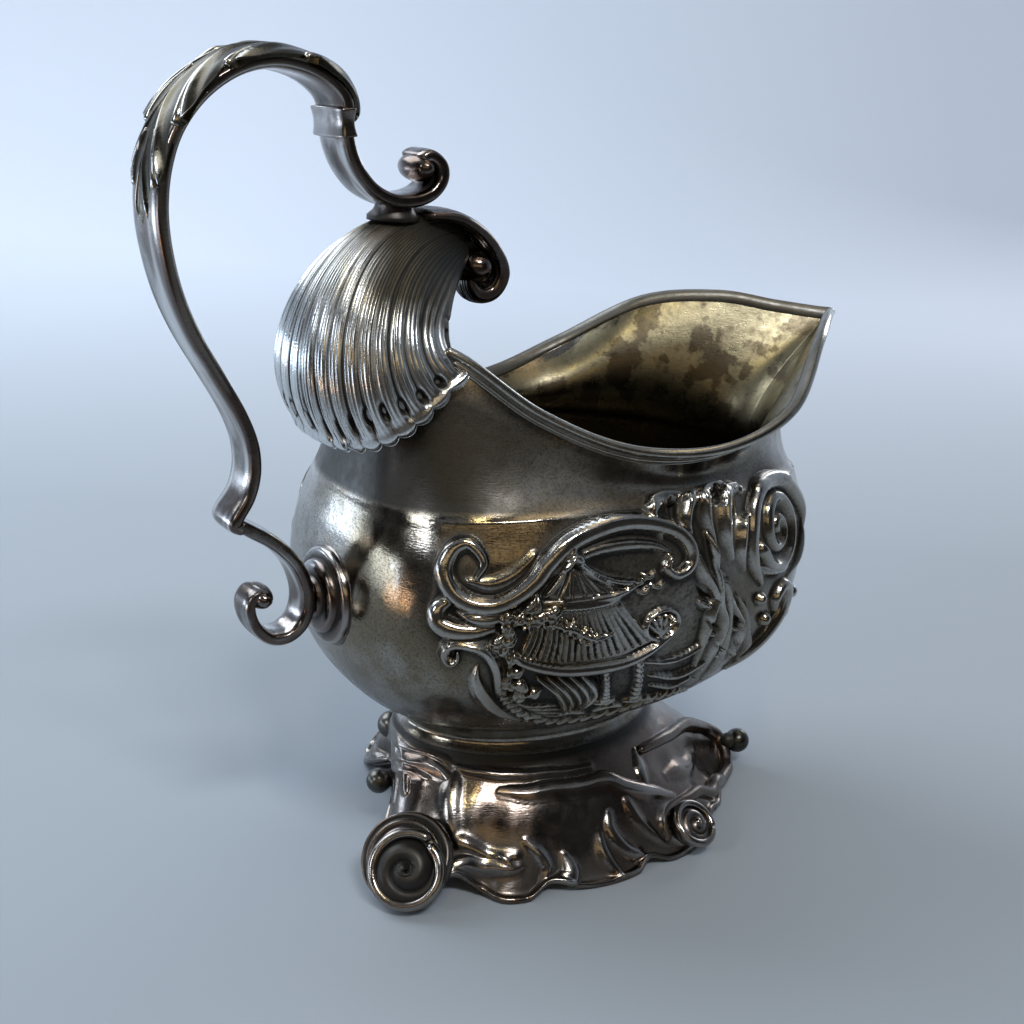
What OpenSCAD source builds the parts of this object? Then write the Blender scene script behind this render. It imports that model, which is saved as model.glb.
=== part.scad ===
// Silver cream jug: a raised boat-shaped body on a cast spreading foot, with a
// cast shell hood and scroll handle soldered to the rear.
// Frame: X forward to the spout tip, Y to the jug's left, Z up, the table at Z = 0.
// The origin is on the table under the middle of the whole length.

/* [Overall] */
// Height of the jug from the table to the top of the handle
jug_h = 130; // [90:1:180]
// Thickness of the raised body sheet
wall = 1.1; // [0.8:0.1:2]

/* [Rim] */
// Half height of the drawn wire soldered round the mouth
rim_high = 1.3; // [0.8:0.1:2]
// Half thickness of the drawn wire soldered round the mouth
rim_thick = 0.9; // [0.6:0.1:1.5]

/* [Handle] */
// Thickness of the flat strap
strap_thick = 2.2; // [1.4:0.1:3.5]
// Width of the strap where it leaves the leaf cap
strap_width = 10; // [6:0.5:14]
// Width of the leaf cap at its widest
leaf_width = 14; // [10:0.5:20]

/* [Boss] */
// Outer radius of the stepped boss behind the lower scroll
boss_r = 7.9; // [5:0.1:10]

/* [Foot] */
// Thickness of the cast foot
foot_wall = 1.6; // [1:0.1:3]
// Radius of the three loose knobs on the foot
knob_r = 2.2; // [1.2:0.1:3]

/* [Hidden] */
k = jug_h / 130;
round_n = 60;
sect_n = 10;
silver = [0.78, 0.77, 0.75];
dark_silver = [0.62, 0.6, 0.58];
bright_silver = [0.86, 0.85, 0.83];
gilt = [0.7, 0.62, 0.45];

// Height, rear end, front end, half width and bluntness of the rear of each level of the body
levels = [
    [19, -25, 25.2, 18.2, 0],
    [21.5, -23.6, 24.6, 16.8, 0],
    [24.5, -27, 28, 18.8, 0],
    [28, -32.5, 39, 25, 0.25],
    [33, -37, 48, 30, 0.6],
    [40, -40, 53, 33.5, 0.9],
    [48, -41, 54.8, 34.6, 1],
    [56, -40, 53.6, 33.6, 0.9],
    [61, -38.6, 51.6, 31.6, 0.7]
];
shoulder_z = 61;
floor_z = 24.5;
neck_span = 30;
mid_x = 5;

// Angle from the spout, length, half width and height of the edge of the mouth
mouth = [
    [0, 68.2, 0, 88.5],
    [15, 65.8, 1.8, 88.6],
    [30, 59.8, 6.9, 89.2],
    [45, 51, 14.3, 90.2],
    [60, 39.4, 23.3, 88],
    [75, 26, 31.4, 79.4],
    [90, 11.6, 31.5, 74.3],
    [105, -2.8, 26.6, 74],
    [120, -16.2, 20.4, 79.2],
    [135, -27, 15.3, 87],
    [150, -33, 11, 89.5],
    [165, -36.5, 6, 90],
    [180, -37.5, 0, 90]
];

// Smooth curve through the rows of a table whose first column is the place along it
function row_at(t, rows, i = 0) = i >= len(rows) - 2 || t < rows[i + 1][0] ? i : row_at(t, rows, i + 1);
function slope(rows, i) =
    i == 0 ? (rows[1] - rows[0]) / (rows[1][0] - rows[0][0]) :
    i == len(rows) - 1 ? (rows[i] - rows[i - 1]) / (rows[i][0] - rows[i - 1][0]) :
    (rows[i + 1] - rows[i - 1]) / (rows[i + 1][0] - rows[i - 1][0]);
function smooth(t, rows) =
    let (i = row_at(t, rows), h = rows[i + 1][0] - rows[i][0], s = (t - rows[i][0]) / h)
    (2 * s * s * s - 3 * s * s + 1) * rows[i]
    + (s * s * s - 2 * s * s + s) * h * slope(rows, i)
    + (3 * s * s - 2 * s * s * s) * rows[i + 1]
    + (s * s * s - s * s) * h * slope(rows, i + 1);
function numbered(points) = [for (i = [0:len(points) - 1]) concat([i], points[i])];
function soft(v, e) = sign(v) * pow(abs(v), e);
function clamp(v, low, high) = max(low, min(high, v));
function wrap(a) = let (b = a - 360 * floor(a / 360)) b > 180 ? b - 360 : b;
function mix(a, b, t) = a * (1 - t) + b * t;
function unit(v) = v / max(norm(v), 0.0001);

// The skin of the body: angle from the spout and level, the shoulder at 61 and the mouth at 91
function shoulder_lift(z, a) = 2.75 * pow(clamp((z - 33) / 28, 0, 1), 2) * (1 + pow(sin(a), 2));
function belly_point(z, a) =
    let (row = smooth(z, levels), xc = (row[1] + row[2]) / 2, half = (row[2] - row[1]) / 2,
        n = 2 + 0.95 * row[4] * sqrt(max(0, -cos(a))))
    [xc + half * soft(cos(a), 2 / n), row[3] * soft(sin(a), 2 / n), z + shoulder_lift(z, a)];
function mouth_point(a) =
    let (w = wrap(a), row = smooth(abs(w), mouth)) [row[1], sign(w) * row[2], row[3]];
function neck_point(t, a) =
    let (low = belly_point(shoulder_z, a), high = mouth_point(a),
        out = unit([low[0] - mid_x, low[1], 0]), dip = 3 + 2 * cos(a))
    mix(low, high, t) - out * dip * sin(180 * pow(t, 0.75));
function skin(a, level) =
    level <= shoulder_z ? belly_point(level, a) : neck_point((level - shoulder_z) / neck_span, a);
function outward(a, level) =
    let (da = skin(a + 2, level) - skin(a - 2, level), dz = skin(a, level + 0.5) - skin(a, level - 0.5))
    unit(cross(da, dz));
function lifted(a, level, d) = skin(a, level) + d * outward(a, level);
function inside(p, d) = p - d * unit(p - [mid_x, 0, min(p[2], 42)]);

// A closed solid through a stack of rings with a point at each end
module stack(rings, first, last) {
    n = len(rings[0]);
    m = len(rings);
    pts = concat([first], [for (r = rings) each r], [last]);
    faces = concat(
        [for (i = [0:n - 1]) [0, 1 + i, 1 + (i + 1) % n]],
        [for (j = [0:m - 2], i = [0:n - 1], h = [0, 1])
            let (a = 1 + j * n + i, b = 1 + j * n + (i + 1) % n) h == 0 ? [a, a + n, b + n] : [a, b + n, b]],
        [for (i = [0:n - 1]) [1 + (m - 1) * n + (i + 1) % n, 1 + (m - 1) * n + i, 1 + m * n]]
    );
    scale([k, k, k]) polyhedron(pts, faces);
}

// A closed solid through rings that join end to end like a bracelet
module bracelet(rings) {
    n = len(rings[0]);
    m = len(rings);
    faces = [for (j = [0:m - 1], i = [0:n - 1], h = [0, 1])
        let (next = (i + 1) % n, row = (j + 1) % m,
            a = j * n + i, b = j * n + next, c = row * n + i, d = row * n + next)
        h == 0 ? [a, c, d] : [a, d, b]];
    scale([k, k, k]) polyhedron([for (r = rings) each r], faces);
}

// A thick sheet between an outer and an inner grid of points
module sheet(outer, inner) {
    m = len(outer);
    n = len(outer[0]);
    half = m * n;
    quads = [for (i = [0:m - 2], j = [0:n - 2]) let (a = i * n + j) [a, a + 1, a + n + 1, a + n]];
    edges = concat(
        [for (j = [0:n - 2]) [j, j + 1]],
        [for (i = [0:m - 2]) [i * n + n - 1, (i + 1) * n + n - 1]],
        [for (j = [n - 2:-1:0]) [(m - 1) * n + j + 1, (m - 1) * n + j]],
        [for (i = [m - 2:-1:0]) [(i + 1) * n, i * n]]
    );
    faces = concat(
        [for (q = quads, h = [1, 2]) [q[0], q[h], q[h + 1]]],
        [for (q = quads, h = [1, 2]) [half + q[h + 1], half + q[h], half + q[0]]],
        [for (e = edges) each [[e[1], e[0], half + e[0]], [e[1], half + e[0], half + e[1]]]]
    );
    scale([k, k, k]) polyhedron([for (r = concat(outer, inner)) each r], faces);
}

// A bar swept along points; each row of the path is X, Y, Z, half thickness, half width
module bar(path, steps, side, power) {
    rows = numbered(path);
    last = len(path) - 1;
    at = function (t) let (r = smooth(t, rows)) [r[1], r[2], r[3]];
    rings = [for (j = [0:steps])
        let (t = last * j / steps, r = smooth(t, rows),
            dir = unit(at(min(last, t + 0.05)) - at(max(0, t - 0.05))),
            up = unit(cross(side, dir)), wide = cross(dir, up))
        [for (i = [0:sect_n - 1])
            let (a = 360 * i / sect_n)
            at(t) + up * r[4] * soft(cos(a), power) + wide * r[5] * soft(sin(a), power)]];
    stack(rings, at(0), at(last));
}

// A scroll lying on the skin of the body; each row is angle from the spout, level, half width, half height
module stroke(path, steps, hand) {
    rows = numbered(path);
    last = len(path) - 1;
    at = function (t, d) let (r = smooth(t, rows)) lifted(hand * r[1], r[2], d);
    rings = [for (j = [0:steps])
        let (t = last * j / steps, r = smooth(t, rows), p = at(t, 0),
            dir = unit(at(min(last, t + 0.05), 0) - at(max(0, t - 0.05), 0)),
            up = outward(hand * r[1], r[2]), wide = unit(cross(dir, up)))
        [for (i = [0:5]) p + up * (r[4] * cos(60 * i) + 0.2) + wide * r[3] * sin(60 * i)]];
    stack(rings, at(0, 0.2), at(last, 0.2));
}

module body() {
    belly = [24.5, 26, 28.3, 31, 35, 40, 45, 50, 55, 59, 61];
    neck = [63, 66, 70, 75, 80, 85, 91];
    outer = [for (v = concat(belly, neck)) [for (i = [0:round_n - 1]) skin(360 * i / round_n, v)]];
    inner = [for (j = [len(outer) - 1:-1:0]) [for (p = outer[j]) inside(p, wall)]];
    color(silver) stack(concat(outer, inner), [0, 0, floor_z - 0.4], [0, 0, floor_z + 0.6]);
}

module rim_moulding() {
    span = 141;
    steps = 60;
    rings = [for (j = [0:steps])
        let (a = -span + 2 * span * j / steps, p = mouth_point(a),
            dir = unit(mouth_point(a + 1) - mouth_point(a - 1)),
            up = unit(neck_point(1, a) - neck_point(0.93, a)),
            wide = unit(cross(dir, up)), high = cross(dir, wide))
        [for (i = [0:5])
            p + wide * (rim_thick * cos(60 * i) + 0.1) + high * (rim_high * sin(60 * i) - 0.2)]];
    color(bright_silver) stack(rings, mouth_point(-span), mouth_point(span));
}

module collar() {
    heights = [19.3, 20.4, 22, 23.4, 24.6];
    outer = [for (z = heights) [for (i = [0:round_n - 1]) belly_point(z, 360 * i / round_n)]];
    inner = [for (j = [len(outer) - 1:-1:0]) [for (p = outer[j]) p - 1.6 * unit([p[0], p[1], 0])]];
    color(silver) bracelet(concat(outer, inner));
}

// Angle, reach and height of the ruffled edge of the foot
foot_edge = [
    [0, 48, 2],
    [12, 46.5, 0],
    [24, 44, 0],
    [34, 40.5, 1.5],
    [48, 37.5, 0],
    [56, 35.5, 0],
    [64, 37, 2],
    [77, 36, 0],
    [90, 34, 0],
    [104, 33, 1.5],
    [117, 31.5, 0],
    [128, 28.5, 3],
    [141, 24, 7],
    [157, 23.5, 8.5],
    [174, 25.5, 8],
    [184, 28, 6],
    [192, 32, 3],
    [203, 37.5, 1],
    [209, 38, 0.5],
    [215, 37.5, 0.8],
    [221, 36.5, 1.8],
    [227, 34.5, 3.5],
    [234, 33.5, 1],
    [240, 34.5, 0],
    [246, 33.5, 0],
    [251, 31, 1.5],
    [258, 31.4, 0.6],
    [268, 31.6, 0],
    [274.5, 31.5, 0],
    [279, 31.2, 1.5],
    [284, 33.2, 0.4],
    [292, 34.8, 0],
    [300, 36.4, 0.4],
    [308, 36.4, 2],
    [316, 38.4, 0.8],
    [324, 39.6, 2],
    [331, 42, 0],
    [338, 45, 0],
    [346, 47, 3],
    [353, 47.5, 4.5],
    [360, 48, 2]
];
seam_z = 19.3;

// Share of the seam's height left at each place from the seam (0) to the edge (1): a soft cushion
foot_fall = [
    [0, 1],
    [0.06, 0.9],
    [0.14, 0.8],
    [0.25, 0.69],
    [0.38, 0.57],
    [0.52, 0.43],
    [0.66, 0.275],
    [0.8, 0.13],
    [0.92, 0.035],
    [1, 0]
];
function foot_point(a, t) =
    let (b = a - 360 * floor(a / 360), e = smooth(b, foot_edge),
        s = belly_point(seam_z, b), r = norm([s[0], s[1]]),
        ang = atan2(s[1], s[0]), reach = mix(r, e[1], t), low = max(0, e[2]),
        wave = 0.45 * (1 - cos(360 * t)) * sin(12 * b), full = 1.6 * sin(180 * t),
        rise = (seam_z - low) * smooth(t, foot_fall)[1] + wave + full)
    [reach * cos(ang), reach * sin(ang), low + rise];

module foot() {
    count = 84;
    places = [0, 0.1, 0.22, 0.38, 0.55, 0.72, 0.88, 1];
    last = len(places) - 1;
    outer = [for (t = places) [for (i = [0:count - 1]) foot_point(-360 * i / count, t)]];
    inner = [for (j = [last:-1:0]) [for (p = outer[j])
        let (q = p - unit([p[0], p[1], 0]) * foot_wall, drop = j == 0 || j == last ? 0 : foot_wall * 0.9)
        [q[0], q[1], max(min(q[2], 0.2), q[2] - drop)]]];
    color(silver) bracelet(concat(outer, inner));
}

// A spiral that rises to its eye, drawn as a bar round a centre
function spiral(c, r0, r1, turns, start, rise, thick) = [for (i = [0:8 * abs(turns)])
    let (s = i / (8 * abs(turns)), r = mix(r0, r1, s), g = start + 45 * i * sign(turns))
    concat(c + [r * cos(g), r * sin(g), rise * s], [thick, thick])];

// Moves a part whose axis is Z to a place and points it outward and up
module facing(place, turn, tilt) {
    translate(k * place) rotate([0, 90 - tilt, turn]) children();
}

module foot_shell_scroll() {
    color(bright_silver) facing([-35, -19, 6], 225, 35) {
        bar(spiral([0, 0, 0.4], 5.6, 1.8, 1.75, 40, 2.2, 0.9), 36, [0, 0, 1], 1);
        scale([k, k, k]) translate([0, 0, 2.6]) sphere(r = 1.7, $fn = 48);
        scale([k, k, k]) translate([0, 0, -3]) cylinder(h = 4, r1 = 3.6, r2 = 6.2, $fn = 64);
        scale([k, k, k]) translate([0, 0, 1]) cylinder(h = 1.5, r1 = 6.2, r2 = 1.6, $fn = 64);
    }
}

// Angle, place on the slope of the foot and half thickness of the rim round the front hollow
front_rim = [
    [286, 0.86, 0.8],
    [288, 0.7, 1],
    [297, 0.68, 1.1],
    [308, 0.78, 1.2],
    [320, 0.9, 1.3],
    [334, 0.96, 1.3],
    [346, 0.9, 1.4],
    [348, 0.74, 1.4],
    [341, 0.55, 1.5],
    [330, 0.4, 1.4],
    [316, 0.29, 1.3],
    [303, 0.23, 1.1],
    [294, 0.2, 0.8]
];

module foot_front_scroll() {
    color(bright_silver) {
        facing([16.8, -29.9, 5], 280, 50) {
            bar(spiral([0, 0, 0.3], 3.6, 1.3, 1.5, 200, 1.5, 0.8), 30, [0, 0, 1], 1);
            scale([k, k, k]) translate([0, 0, 1.8]) sphere(r = 1.3, $fn = 48);
            scale([k, k, k]) translate([0, 0, -3]) cylinder(h = 4, r1 = 2.4, r2 = 4, $fn = 64);
            scale([k, k, k]) translate([0, 0, 1]) cylinder(h = 1, r1 = 4, r2 = 1.2, $fn = 64);
        }
        rim = [for (r = front_rim) let (p = foot_point(r[0], r[1]))
            [p[0], p[1], max(p[2] + 0.3, r[2] + 0.1), r[2], r[2]]];
        bar(rim, 60, [0, 0, 1], 1);
    }
}

module foot_knobs() {
    color(dark_silver) scale([k, k, k]) {
        translate([-28, 3, 9.4]) sphere(r = knob_r, $fn = 48);
        translate([-28, 3, 9.4]) rotate([0, 90, 0]) cylinder(h = 5, r = knob_r * 0.55, $fn = 32);
        translate([-19, 14.5, 13]) sphere(r = knob_r * 1.2, $fn = 48);
        translate([46.8, -10, 5]) sphere(r = knob_r * 1.1, $fn = 48);
        translate([46.8, -10, 5]) rotate([0, -80, -12]) cylinder(h = 6, r = knob_r * 0.6, $fn = 32);
    }
}

// The hood: ribs fan out from the front of the top and end round the rear of the neck
function hood_point(u, v) =
    let (a = 180 + 47 * v, c = max(cos(90 * v), 0), s = sin(90 * v),
        level = 61 + neck_span * (0.36 + 0.6 * pow(abs(v), 3)),
        p0 = [-18.8 - 1.5 * c, -2.6 * v, 100.5 + 6 * pow(c, 0.6)],
        p1 = [-25.5 - 16.5 * pow(c, 0.7), -8.4 * s, 95.5 + 17 * pow(c, 0.7)],
        p2 = [-30.5 - 24 * pow(c, 0.6), -14 * s * (1 + 0.8 * c), 90.5 - 5.5 * c],
        base = skin(a, level), p3 = base + (1.4 + 4.2 * c) * unit([base[0] - mid_x, base[1], 0]))
    pow(1 - u, 3) * p0 + 3 * u * pow(1 - u, 2) * p1 + 3 * u * u * (1 - u) * p2 + u * u * u * p3;

module shell_hood() {
    ribs = 12;
    across = ribs * 4;
    down = 11;
    middle = [-28, 0, 86];
    rib_high = 0.45;
    lobe_long = 0.8;
    thick = 1.3;
    grid = [for (i = [0:down]) [for (j = [0:across])
        let (u = i / down, v = 2 * j / across - 1, p = hood_point(u, v), rib = cos(180 * ribs * (v + 1)))
        p + unit(p - middle) * rib_high * u * rib - [0, 0, i == down ? lobe_long * rib : 0]]];
    under = [for (i = [0:down]) [for (j = [0:across])
        let (p = hood_point(i / down, 2 * j / across - 1)) p - unit(p - middle) * thick]];
    color(bright_silver) sheet(grid, under);
}

module hood_volute() {
    color(bright_silver) {
        bar([
            [-25.4, 0, 107, 1, 3],
            [-21.2, 0, 106.4, 1.1, 3.2],
            [-17.4, 0, 104.4, 1.1, 3.2],
            [-14, 0, 101.4, 1.1, 3.2],
            [-12.2, 0, 98, 1.1, 3.1],
            [-13.4, 0, 95.2, 1.1, 3],
            [-16, 0, 94.6, 1, 2.9],
            [-17.8, 0, 96.6, 1, 2.8],
            [-17, 0, 99, 0.9, 2.8]
        ], 30, [0, 1, 0], 0.7);
        scale([k, k, k]) translate([-16, 0, 98.2]) rotate([90, 0, 0])
            cylinder(h = 6.4, r = 1.7, center = true, $fn = 48);
    }
}

module handle_strap() {
    w = strap_width / 2;
    t = strap_thick / 2;
    color(silver) bar([
        [-41, 0, 119, t, w * 0.92],
        [-41.5, 0, 122.6, t, w * 0.96],
        [-44, 0, 125, t, w],
        [-48, 0, 126.6, t, w],
        [-53, 0, 127, t, w * 1.05],
        [-58, 0, 125.6, t, w * 1.1],
        [-62.6, 0, 122.4, t, w * 1.1],
        [-66, 0, 118, t, w * 1.1],
        [-67.7, 0, 113, t, w * 1.05],
        [-68.2, 0, 107.5, t, w],
        [-67.6, 0, 102, t, w * 0.96],
        [-66, 0, 96, t, w * 0.92],
        [-63.5, 0, 90.4, t, w * 0.88],
        [-60, 0, 84.5, t, w * 0.84],
        [-56.8, 0, 79, t, w * 0.8],
        [-54.9, 0, 74.4, t, w * 0.78],
        [-54.4, 0, 70.2, t, w * 0.76],
        [-55.2, 0, 66.4, t, w * 0.76],
        [-57.2, 0, 63.2, t, w * 0.8],
        [-57.4, 0, 61.9, t * 0.9, w * 0.76],
        [-55.6, 0, 61.1, t * 0.9, w * 0.74]
    ], 60, [0, 1, 0], 0.6);
}

module handle_leaf() {
    w = leaf_width / 2;
    color(bright_silver) bar([
        [-39.2, 0, 119.4, 0.7, w * 0.56],
        [-38.4, 0, 121, 1, w * 0.62],
        [-39.4, 0, 123.8, 0.9, w * 0.7],
        [-42.6, 0, 126.8, 0.9, w * 0.74],
        [-47.4, 0, 128.6, 0.9, w * 0.78],
        [-53, 0, 129, 0.9, w * 0.82],
        [-58.8, 0, 127.4, 0.9, w * 0.86],
        [-63.6, 0, 123.8, 0.9, w * 0.9],
        [-67.2, 0, 118.8, 0.9, w * 0.88],
        [-69, 0, 113.4, 0.8, w * 0.76],
        [-69.4, 0, 108, 0.7, w * 0.5],
        [-68.9, 0, 104.5, 0.4, w * 0.2]
    ], 36, [0, 1, 0], 0.75);
}

module handle_upper_scroll() {
    w = strap_width / 2;
    t = strap_thick / 2;
    color(silver) {
        bar([
            [-41.2, 0, 121, t * 0.9, w * 0.86],
            [-40.8, 0, 117.6, t * 0.95, w * 0.86],
            [-39.4, 0, 114, t, w * 0.84],
            [-36.6, 0, 110.8, t, w * 0.82],
            [-33, 0, 109.1, t, w * 0.8],
            [-29.4, 0, 109, t, w * 0.8],
            [-26.4, 0, 110, t, w * 0.78],
            [-24.6, 0, 112, t, w * 0.76],
            [-24.7, 0, 114.2, t, w * 0.74],
            [-26.6, 0, 115.5, t * 0.95, w * 0.7],
            [-28.4, 0, 114.6, t * 0.9, w * 0.66]
        ], 36, [0, 1, 0], 0.6);
        scale([k, k, k]) translate([-27.4, 0, 113.7]) rotate([90, 0, 0])
            cylinder(h = strap_width * 0.8, r = 1.9, center = true, $fn = 48);
    }
}

module handle_pad() {
    color(dark_silver) scale([k, k, k]) translate([-31, 0, 106.6])
        cylinder(h = 1.8, r1 = 4.2, r2 = 3.4, $fn = 64);
}

module handle_lower_scroll() {
    w = strap_width / 2;
    t = strap_thick / 2;
    color(silver) {
        bar([
            [-57.2, 0, 62.4, t * 0.9, w * 0.74],
            [-54.4, 0, 60.6, t, w * 0.72],
            [-50.8, 0, 58.2, t, w * 0.7],
            [-47.4, 0, 54.7, t, w * 0.68],
            [-45.5, 0, 50.8, t, w * 0.66],
            [-45, 0, 47.2, t, w * 0.64],
            [-46, 0, 44.2, t, w * 0.62],
            [-48.4, 0, 42.5, t, w * 0.6],
            [-51.2, 0, 42.7, t * 0.95, w * 0.58],
            [-53.6, 0, 45, t * 0.9, w * 0.56],
            [-54.6, 0, 48, t * 0.85, w * 0.54],
            [-53.8, 0, 50, t * 0.8, w * 0.54],
            [-52.2, 0, 50.2, t * 0.8, w * 0.54]
        ], 42, [0, 1, 0], 0.6);
        scale([k, k, k]) translate([-52.3, 0, 49.4]) rotate([90, 0, 0])
            cylinder(h = strap_width * 0.66, r = 1.7, center = true, $fn = 48);
    }
}

module boss() {
    color(silver) scale([k, k, k]) translate([-44.2, 0, 47.6]) rotate([0, 90, 0]) rotate_extrude($fn = 96)
        polygon([
            [0, 0], [2.6, 0], [3.2, 0.6], [3.4, 1], [5.2, 1.2], [5.9, 1.7], [6, 2.3],
            [boss_r - 0.7, 2.5], [boss_r, 3.1], [boss_r, 4.4], [0, 4.4]
        ]);
}

// Scroll border of the chased panel on one side; hand is -1 on the right and 1 on the left
module border(hand) {
    stroke([
        [134.5, 56, 0.9, 1.2], [138, 57.8, 1.2, 1.6], [142, 57.8, 1.4, 1.9], [144, 55.8, 1.5, 2.1],
        [141.5, 53.8, 1.5, 2.1], [136.5, 52.2, 1.5, 2], [130.5, 52, 1.5, 1.9], [125.5, 53, 1.5, 2],
        [122, 54.5, 1.6, 2], [119.5, 56.5, 1.6, 2.1], [115.5, 58.5, 1.7, 2.2],
        [109.5, 59.8, 1.8, 2.2], [104, 60, 1.8, 2.2], [98.5, 59.5, 1.7, 2.2],
        [94.5, 58.5, 1.6, 2.2], [92, 56.5, 1.5, 2.2], [91.5, 54.2, 1.4, 2], [93, 52.8, 1.2, 1.9],
        [95.5, 53.5, 1, 1.8], [96.5, 54.8, 0.8, 1.6]
    ], 44, hand);
    stroke([
        [141.5, 53.5, 0.8, 0.8], [145, 52, 1.8, 1.8], [146, 50, 2, 1.9], [142.5, 48.5, 2.2, 1.8],
        [136, 48.2, 1.8, 1.4], [130.5, 48.5, 0.8, 0.6]
    ], 10, hand);
    stroke([
        [138, 45, 0.8, 1.2], [140, 43.8, 0.9, 1.3], [142.5, 45.2, 1, 1.4], [141, 46.4, 1.2, 1.5],
        [138, 46.6, 1.3, 1.5], [133.5, 46.6, 1.4, 1.6], [130.5, 45.4, 1.4, 1.5],
        [128.5, 42.8, 1.3, 1.4], [128, 39.2, 1.2, 1.3], [126, 37, 1.2, 1.2], [122.5, 34, 1.2, 1.1],
        [115, 31, 1.2, 1.1], [107, 30, 1.2, 1.1], [99, 31, 1.1, 1], [92.5, 32.6, 1.1, 1],
        [84, 32.4, 0.9, 0.8]
    ], 34, hand);
    stroke([
        [133.5, 43, 0.4, 0.6], [134, 41, 1, 1], [132, 37.8, 1.3, 1.1], [128, 34.8, 1, 1],
        [122.5, 31.8, 0.4, 0.6]
    ], 8, hand);
}

// The pavilion scene inside the panel
module scene(hand) {
    stroke([
        [119, 53, 0.5, 0.7], [115.5, 54.8, 0.8, 1], [114, 56.5, 0.9, 1.2], [108.5, 53.8, 1, 1.1],
        [102, 52.2, 0.5, 0.7]
    ], 10, hand);
    stroke([
        [119.5, 52.5, 0.6, 0.8], [112, 51.2, 1, 1.1], [106.5, 51.2, 1, 1.1], [101, 52, 0.6, 0.8]
    ], 6, hand);
    for (i = [0:5]) stroke([
        [122 - 3.6 * i, 50.4, 0.6, 0.9], [123 - 4.4 * i, 47.6, 0.8, 1.1],
        [124.4 - 5.2 * i, 44.4, 0.8, 1]
    ], 4, hand);
    stroke([
        [125, 45.5, 0.6, 0.8], [119.5, 44.2, 0.9, 1.2], [111, 42.8, 0.9, 1.2],
        [103, 42.2, 0.9, 1.2], [96.5, 43.5, 0.6, 0.9]
    ], 8, hand);
    stroke([[105.5, 42.2, 0.8, 1], [104.5, 38, 0.9, 1.1], [103.5, 34.5, 1, 0.9]], 4, hand);
    stroke([[99.5, 42.5, 0.8, 1], [98.5, 38, 0.9, 1.1], [97.5, 33.4, 1, 0.9]], 4, hand);
    for (i = [0:3]) stroke([
        [120 - 2.6 * i, 35 + 0.6 * i, 0.6, 0.8], [117.5 - 2.4 * i, 38, 0.9, 1],
        [113 - 1.6 * i, 40.4 - i, 0.5, 0.6]
    ], 5, hand);
    for (i = [0:3]) stroke([
        [127.5 - 0.3 * i, 50 - 3 * i, 0.8, 0.8], [125 - 0.4 * i, 49 - 3 * i, 1.3, 1.2],
        [122.5, 49 - 3 * i, 0.4, 0.5]
    ], 4, hand);
}

// The front scroll flower with the leaves above it and the drapery scroll below
module flower(hand) {
    stroke([for (i = [0:14]) let (r = 0.9 + 0.28 * i)
        [64 + r * cos(45 * i) / 0.7, 55.8 + r * sin(45 * i), 0.7 + 0.05 * i, 2.3 - 0.03 * i]],
        34, hand);
    stroke([
        [43.5, 54, 0.8, 0.9], [50, 57.8, 1.4, 1.4], [61.5, 61.4, 1.5, 1.6], [70.5, 60.6, 1.5, 1.6],
        [75, 57, 1.4, 1.4], [74, 52.5, 1, 1.2]
    ], 16, hand);
    stroke([
        [94, 64.8, 0.6, 0.7], [91, 60.5, 1.6, 1.5], [88, 58.8, 1.6, 1.6], [86.5, 56.2, 0.8, 1]
    ], 8, hand);
    stroke([
        [75.5, 63.8, 0.7, 0.7], [82, 61.5, 1.8, 1.6], [83.5, 58, 1.6, 1.6], [79, 54.4, 0.8, 1]
    ], 8, hand);
    stroke([
        [89.5, 54.2, 0.8, 1], [86.5, 51.2, 1.5, 1.6], [84, 48.2, 1.7, 1.7], [82, 44.2, 1.9, 1.8],
        [81, 40, 1.9, 1.6], [78, 34.2, 1, 0.8]
    ], 14, hand);
    stroke([
        [83, 49.5, 0.6, 0.8], [78.5, 46, 1.4, 1.4], [74, 42.4, 1.4, 1.4], [70, 39.5, 0.6, 0.8]
    ], 8, hand);
    stroke([
        [68, 34.6, 0.8, 0.8], [63, 37.6, 1.5, 1.4], [58, 41, 1.7, 1.6], [57, 45.4, 1.5, 1.6],
        [61, 46.6, 1.2, 1.4], [62.6, 44, 0.9, 1.2]
    ], 14, hand);
}

module cartouche_right() { color(bright_silver) border(-1); }
module cartouche_left() { color(bright_silver) border(1); }
module pavilion_right() { color(gilt) scene(-1); }
module pavilion_left() { color(gilt) scene(1); }
module rosette_right() { color(bright_silver) flower(-1); }
module rosette_left() { color(bright_silver) flower(1); }

body();
rim_moulding();
collar();
foot();
foot_shell_scroll();
foot_front_scroll();
foot_knobs();
shell_hood();
hood_volute();
handle_strap();
handle_leaf();
handle_upper_scroll();
handle_pad();
handle_lower_scroll();
boss();
cartouche_right();
cartouche_left();
pavilion_right();
pavilion_left();
rosette_right();
rosette_left();
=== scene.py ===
"""Silver cream jug: the visual model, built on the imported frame.

Lengths are in millimetres in the jug's own frame (X forward to the spout, Y to the jug's
left, Z up, the table at zero) and become metres when a mesh is made. The outline tables
repeat the design's own: the frame holds meshes, so it can't give them back.
"""
import math
import bpy
import bmesh
import numpy as np
from mathutils import Matrix, Vector


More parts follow.
